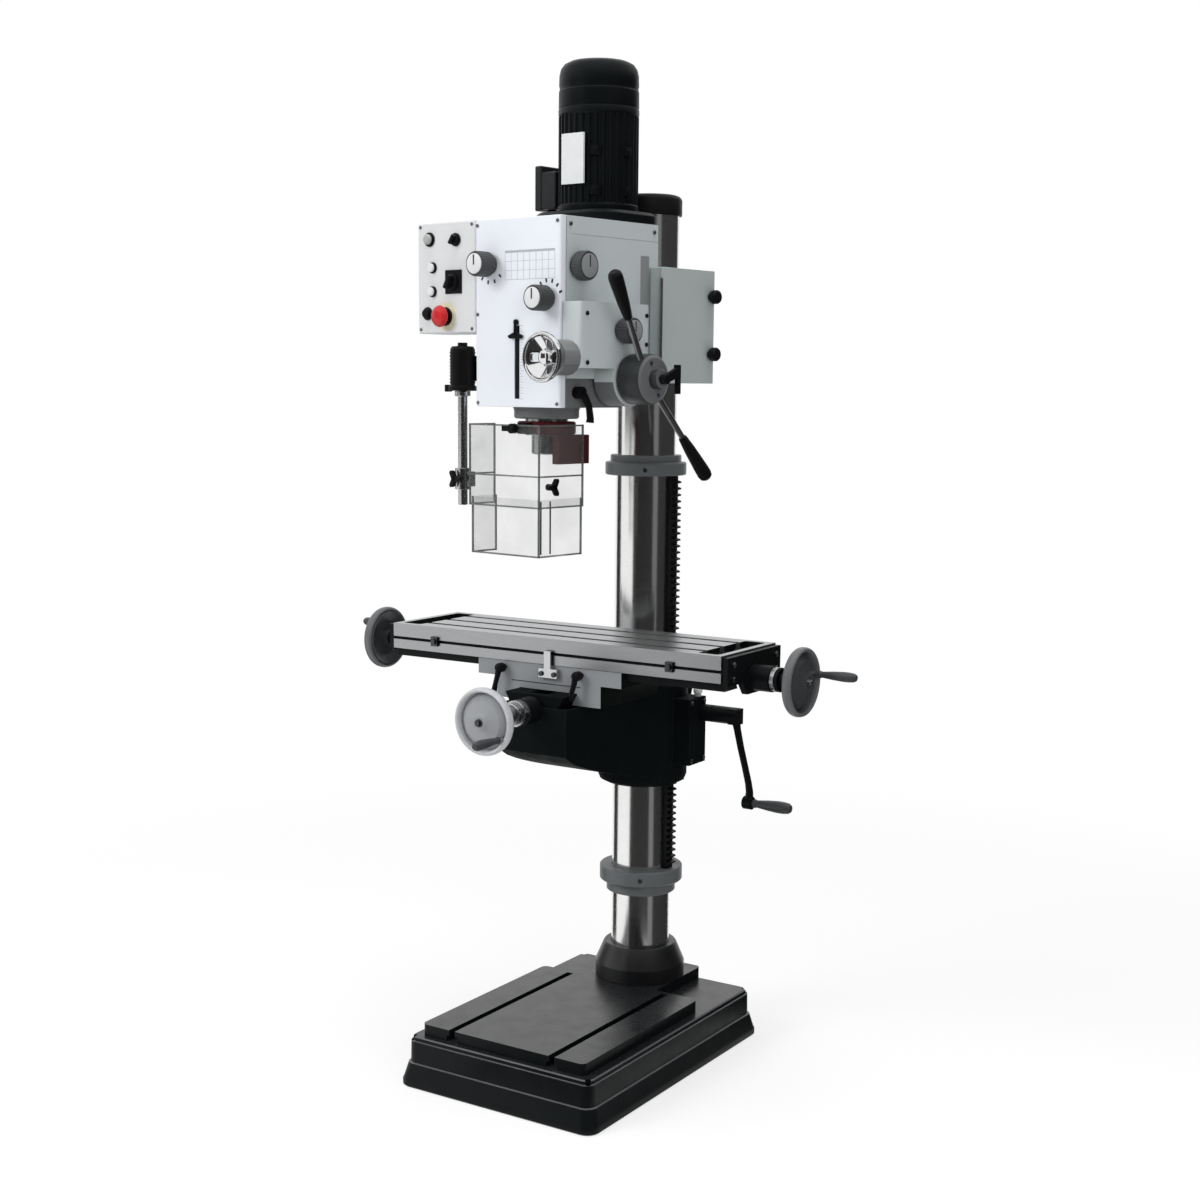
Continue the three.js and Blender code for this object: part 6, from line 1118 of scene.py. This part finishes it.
def build_guard():
    x, y = POST
    Shell(HEAD).lathe("z", POST, HOUSING, 56, loop=True).box(*HOUSING_ARM).box(*HOUSING_WING).rod(
        "z", (x - 38, y), 7, 1302, 1315, 24).piece(
        "guard_post_housing", PLASTIC_BLACK, "head", "black", 1, replaces=("guard_housing",))
    s = Shell(HEAD)
    for k in range(RIBS):
        z = RIB_FOOT + RIB_PITCH * k
        s.tube_wall("z", POST, 22.9, 24, z, z + RIB_HIGH, 48)
    s.piece("guard_post_ribs", PLASTIC_BLACK, "head", "black")
    Shell(HEAD).rod("z", POST, 9, 1093, 1376, 40, 1).rod("z", POST, 15, 1294, 1303.6, 40, 1).piece(
        "guard_rod_bar", EDGE_STEEL, "guard", "steel", replaces=("guard_rod",))
    shield("guard_sheet_upper", "guard", "guard_shield_upper", UPPER)
    x0, x1, front, right, left, z0, z1 = UPPER
    s = Shell(HEAD)
    for z in (z0, CROSS_STRIP_Z, z1 - EDGE_HIGH):
        ends = (z, z + EDGE_HIGH)
        s.box(x0, x1, front - EDGE_OUT, front, *ends).box(x1, x1 + EDGE_OUT, front, right, *ends)
        s.box(x0 - EDGE_OUT, x0, front, left, *ends)
    shield_edges(s, UPPER).piece("guard_edges_upper", SHEET_EDGE, "guard", "clear")
    Shell(HEAD).tube_wall("z", POST, *CLAMP_WALL, 40).box(*CLAMP_ARM).piece(
        "guard_clamp", EDGE_STEEL, "guard", "steel", 1)
    s = Shell(HEAD)
    for axis, u, z, inner, outer in WING_SCREWS:
        s.rod(axis, (u, z), 6, inner, outer, 24)
        wing = [(u + a, z + b) for a, b in WING]
        at = (u, outer, z) if axis == "y" else (outer, u, z)
        s.around(WING_TURNS, axis.upper(), at,
                 lambda: s.prism(axis, outer, outer + (inner - outer) * WING_SHARE, wing))
    s.piece("guard_wing_screws", PLASTIC_BLACK, "guard", "black", 0.8)
    shield("guard_sheet_lower", "guard_low", "guard_shield_lower", LOWER)
    x0, x1, front, right, left, z0, z1 = LOWER
    ends = (z0, z0 + EDGE_HIGH)
    s = Shell(HEAD).box(x0, x1, front - 0.5, front + SHEET_THICK, *ends)
    s.box(x1 - SHEET_THICK, x1, front, right, *ends).box(x0, x0 + SHEET_THICK, front, left, *ends)
    shield_edges(s, LOWER).piece("guard_edges_lower", SHEET_EDGE, "guard_low", "clear")
    s = Shell(HEAD)
    for slide in SLIDES_Y:
        s.box(*SLIDE_X, slide - SLIDE_HALF, slide + SLIDE_HALF, *SLIDE_Z)
    s.piece("guard_slide_strips", DARK_STEEL, "guard_low", "steel")


for build in (build_base, build_column, build_knee, build_crank, build_saddle, build_table, build_head,
              build_front_plate, build_knobs, build_feed, build_fine_wheel, build_motor, build_control_box,
              build_electric_box, build_quill, build_guard):
    build()

INSIDE = {"lift_rack": SATIN_BLACK, "lift_pinion": SCREW_STEEL, "knee_clamp_lever": SATIN_BLACK,
          "motor_rotor": TURNED_STEEL, "layshaft": SCREW_STEEL, "drive_sleeve": SCREW_STEEL,
          "feed_worm_wheel": BRONZE}
for node, material in INSIDE.items():
    frame["nodes"][node].data.materials.clear()
    frame["nodes"][node].data.materials.append(material)


# Stage: the floor's box in millimetres, the other places in metres
FLOOR, FLOOR_FADE = (-9000, 9000, -9000, 9000, -20, -0.2), (0.9, 2.4)
FLOOR_PLAIN, FLOOR_LIT, FLOOR_GLOW = 0.86, 0.34, 0.7
FLAG_REACH, FLAG_STEP, FLAG_RAYS = 2.7, 6, ("camera", "diffuse", "transmission", "shadow")
# First and last bearing, tone, near edge, foot and top of the screens
FLAGS = {"front": (-105, -30, 0.035, 0.62, 0.001, 2.8), "middle": (-30, -12, 0.22, 0.4, 0.001, 2.8),
         "side": (-12, 80, 0.04, 0.32, 0.001, 2.8), "left": (166, 196, 0.03, 0.62, 0.001, 1.4),
         "high": (-148, -112, 0.06, 2.6, 1.15, 2.2)}
# Place, aim, size and power of the lamps
LAMPS = {"key": ((-2.6, -4.2, 3.6), (0, -0.2, 1.2), 2.4, 150),
         "fill": ((3.4, -3.0, 2.0), (0, -0.2, 0.9), 2.0, 45),
         "top": ((0.3, -0.4, 4.4), (0, -0.2, 0.8), 2.2, 80)}
WORLD_LIGHT = 0.3
YAW, PITCH, ROLL, CAMERA_AT = 0.5725, 0.1601, 0.0086, (1.8236, -2.9912, 1.3220)
FOCAL_PX, CENTRE_PX, PHOTO_PX = 1764.4, (599.8, 667.1), 1200


def grey(tone):
    return (tone, tone, tone, 1)


def seen(tree):
    """One for rays from the camera, gloss and glass, and nothing for the rays that light the object."""
    rays = add_node(tree, "LightPath").outputs
    gloss = operate(tree, "Math", "MAXIMUM", rays["Is Camera Ray"], rays["Is Glossy Ray"])
    return operate(tree, "Math", "MAXIMUM", gloss, rays["Is Transmission Ray"])


def shader(tree, kind, *first, **named):
    return add_node(tree, kind, *first, **named).outputs[0]


def pale_floor():
    """A floor that looks white and keeps a soft shadow near the object."""
    material = bpy.data.materials.new("floor_pale")
    material.use_nodes = True
    tree = material.node_tree
    tree.nodes.clear()
    away = operate(tree, "VectorMath", "LENGTH", add_node(tree, "NewGeometry").outputs["Position"])
    far = add_node(tree, "MapRange", away, *FLOOR_FADE).outputs["Result"]
    plain, lit = (shader(tree, "BsdfDiffuse", grey(tone)) for tone in (FLOOR_PLAIN, FLOOR_LIT))
    soft = shader(tree, "AddShader", shader(tree, "Emission", Strength=FLOOR_GLOW), lit)
    shown = shader(tree, "MixShader", far, soft, shader(tree, "Emission"))
    add_node(tree, "OutputMaterial", shader(tree, "MixShader", seen(tree), plain, shown))
    return material


def flag(name, start, end, tone, near, low, high):
    """A dull screen that only gloss sees: a level strip and a wall round the object between two bearings."""
    count = round((end - start) / FLAG_STEP)
    points, faces = [], []
    for i in range(count + 1):
        t = math.radians(start + (end - start) * i / count)
        for r, z in ((near, low), (FLAG_REACH, low), (FLAG_REACH, high)):
            points.append((r * math.cos(t), r * math.sin(t), z))
    for i in range(count):
        for a in (3 * i, 3 * i + 1):
            faces.append((a, a + 1, a + 4, a + 3))
    data = bpy.data.meshes.new(name)
    data.from_pydata(points, [], faces)
    screen = bpy.data.objects.new(name, data)
    bpy.context.scene.collection.objects.link(screen)
    k = Look(name)
    data.materials.append(k.show(Base_Color=grey(tone), Specular_IOR_Level=0))
    for ray in FLAG_RAYS:
        setattr(screen, "visible_" + ray, False)


def build_stage():
    floor = Shell().box(*FLOOR).mesh("floor")
    floor.data.materials.append(pale_floor())
    for name, values in FLAGS.items():
        flag("flag_" + name, *values)


def area(name, at, aim, size, power):
    light = bpy.data.lights.new(name, "AREA")
    light.shape = "SQUARE"
    light.size = size
    light.energy = power
    obj = bpy.data.objects.new(name, light)
    obj.location = at
    obj.rotation_euler = (Vector(aim) - Vector(at)).to_track_quat("-Z", "Y").to_euler()
    obj.visible_camera = False
    obj.visible_glossy = False
    bpy.context.scene.collection.objects.link(obj)


def build_light():
    """A world that lights the object weakly and looks white, and three lamps."""
    world = bpy.data.worlds.new("studio")
    bpy.context.scene.world = world
    world.use_nodes = True
    tree = world.node_tree
    tree.nodes.clear()
    plain, white = (shader(tree, "Background", grey(1), light) for light in (WORLD_LIGHT, 1))
    add_node(tree, "OutputWorld", shader(tree, "MixShader", seen(tree), plain, white))
    for name, values in LAMPS.items():
        area(name, *values)


def build_camera():
    """The camera that was fitted to the photograph."""
    forward = Vector((-math.sin(YAW) * math.cos(PITCH), math.cos(YAW) * math.cos(PITCH), -math.sin(PITCH)))
    right = Vector((math.cos(YAW), math.sin(YAW), 0))
    up = right.cross(forward)
    right, up = right * math.cos(ROLL) + up * math.sin(ROLL), up * math.cos(ROLL) - right * math.sin(ROLL)
    data = bpy.data.cameras.new("camera")
    data.sensor_width = 36
    data.sensor_fit = "HORIZONTAL"
    data.lens = FOCAL_PX / PHOTO_PX * data.sensor_width
    data.shift_x = (PHOTO_PX / 2 - CENTRE_PX[0]) / PHOTO_PX
    data.shift_y = (CENTRE_PX[1] - PHOTO_PX / 2) / PHOTO_PX
    camera = bpy.data.objects.new("camera", data)
    turn = Matrix((right, up, -forward)).transposed().to_4x4()
    camera.matrix_world = Matrix.Translation(CAMERA_AT) @ turn
    bpy.context.scene.collection.objects.link(camera)
    bpy.context.scene.camera = camera


build_stage()
build_light()
build_camera()
bpy.context.scene.view_settings.view_transform = "Standard"
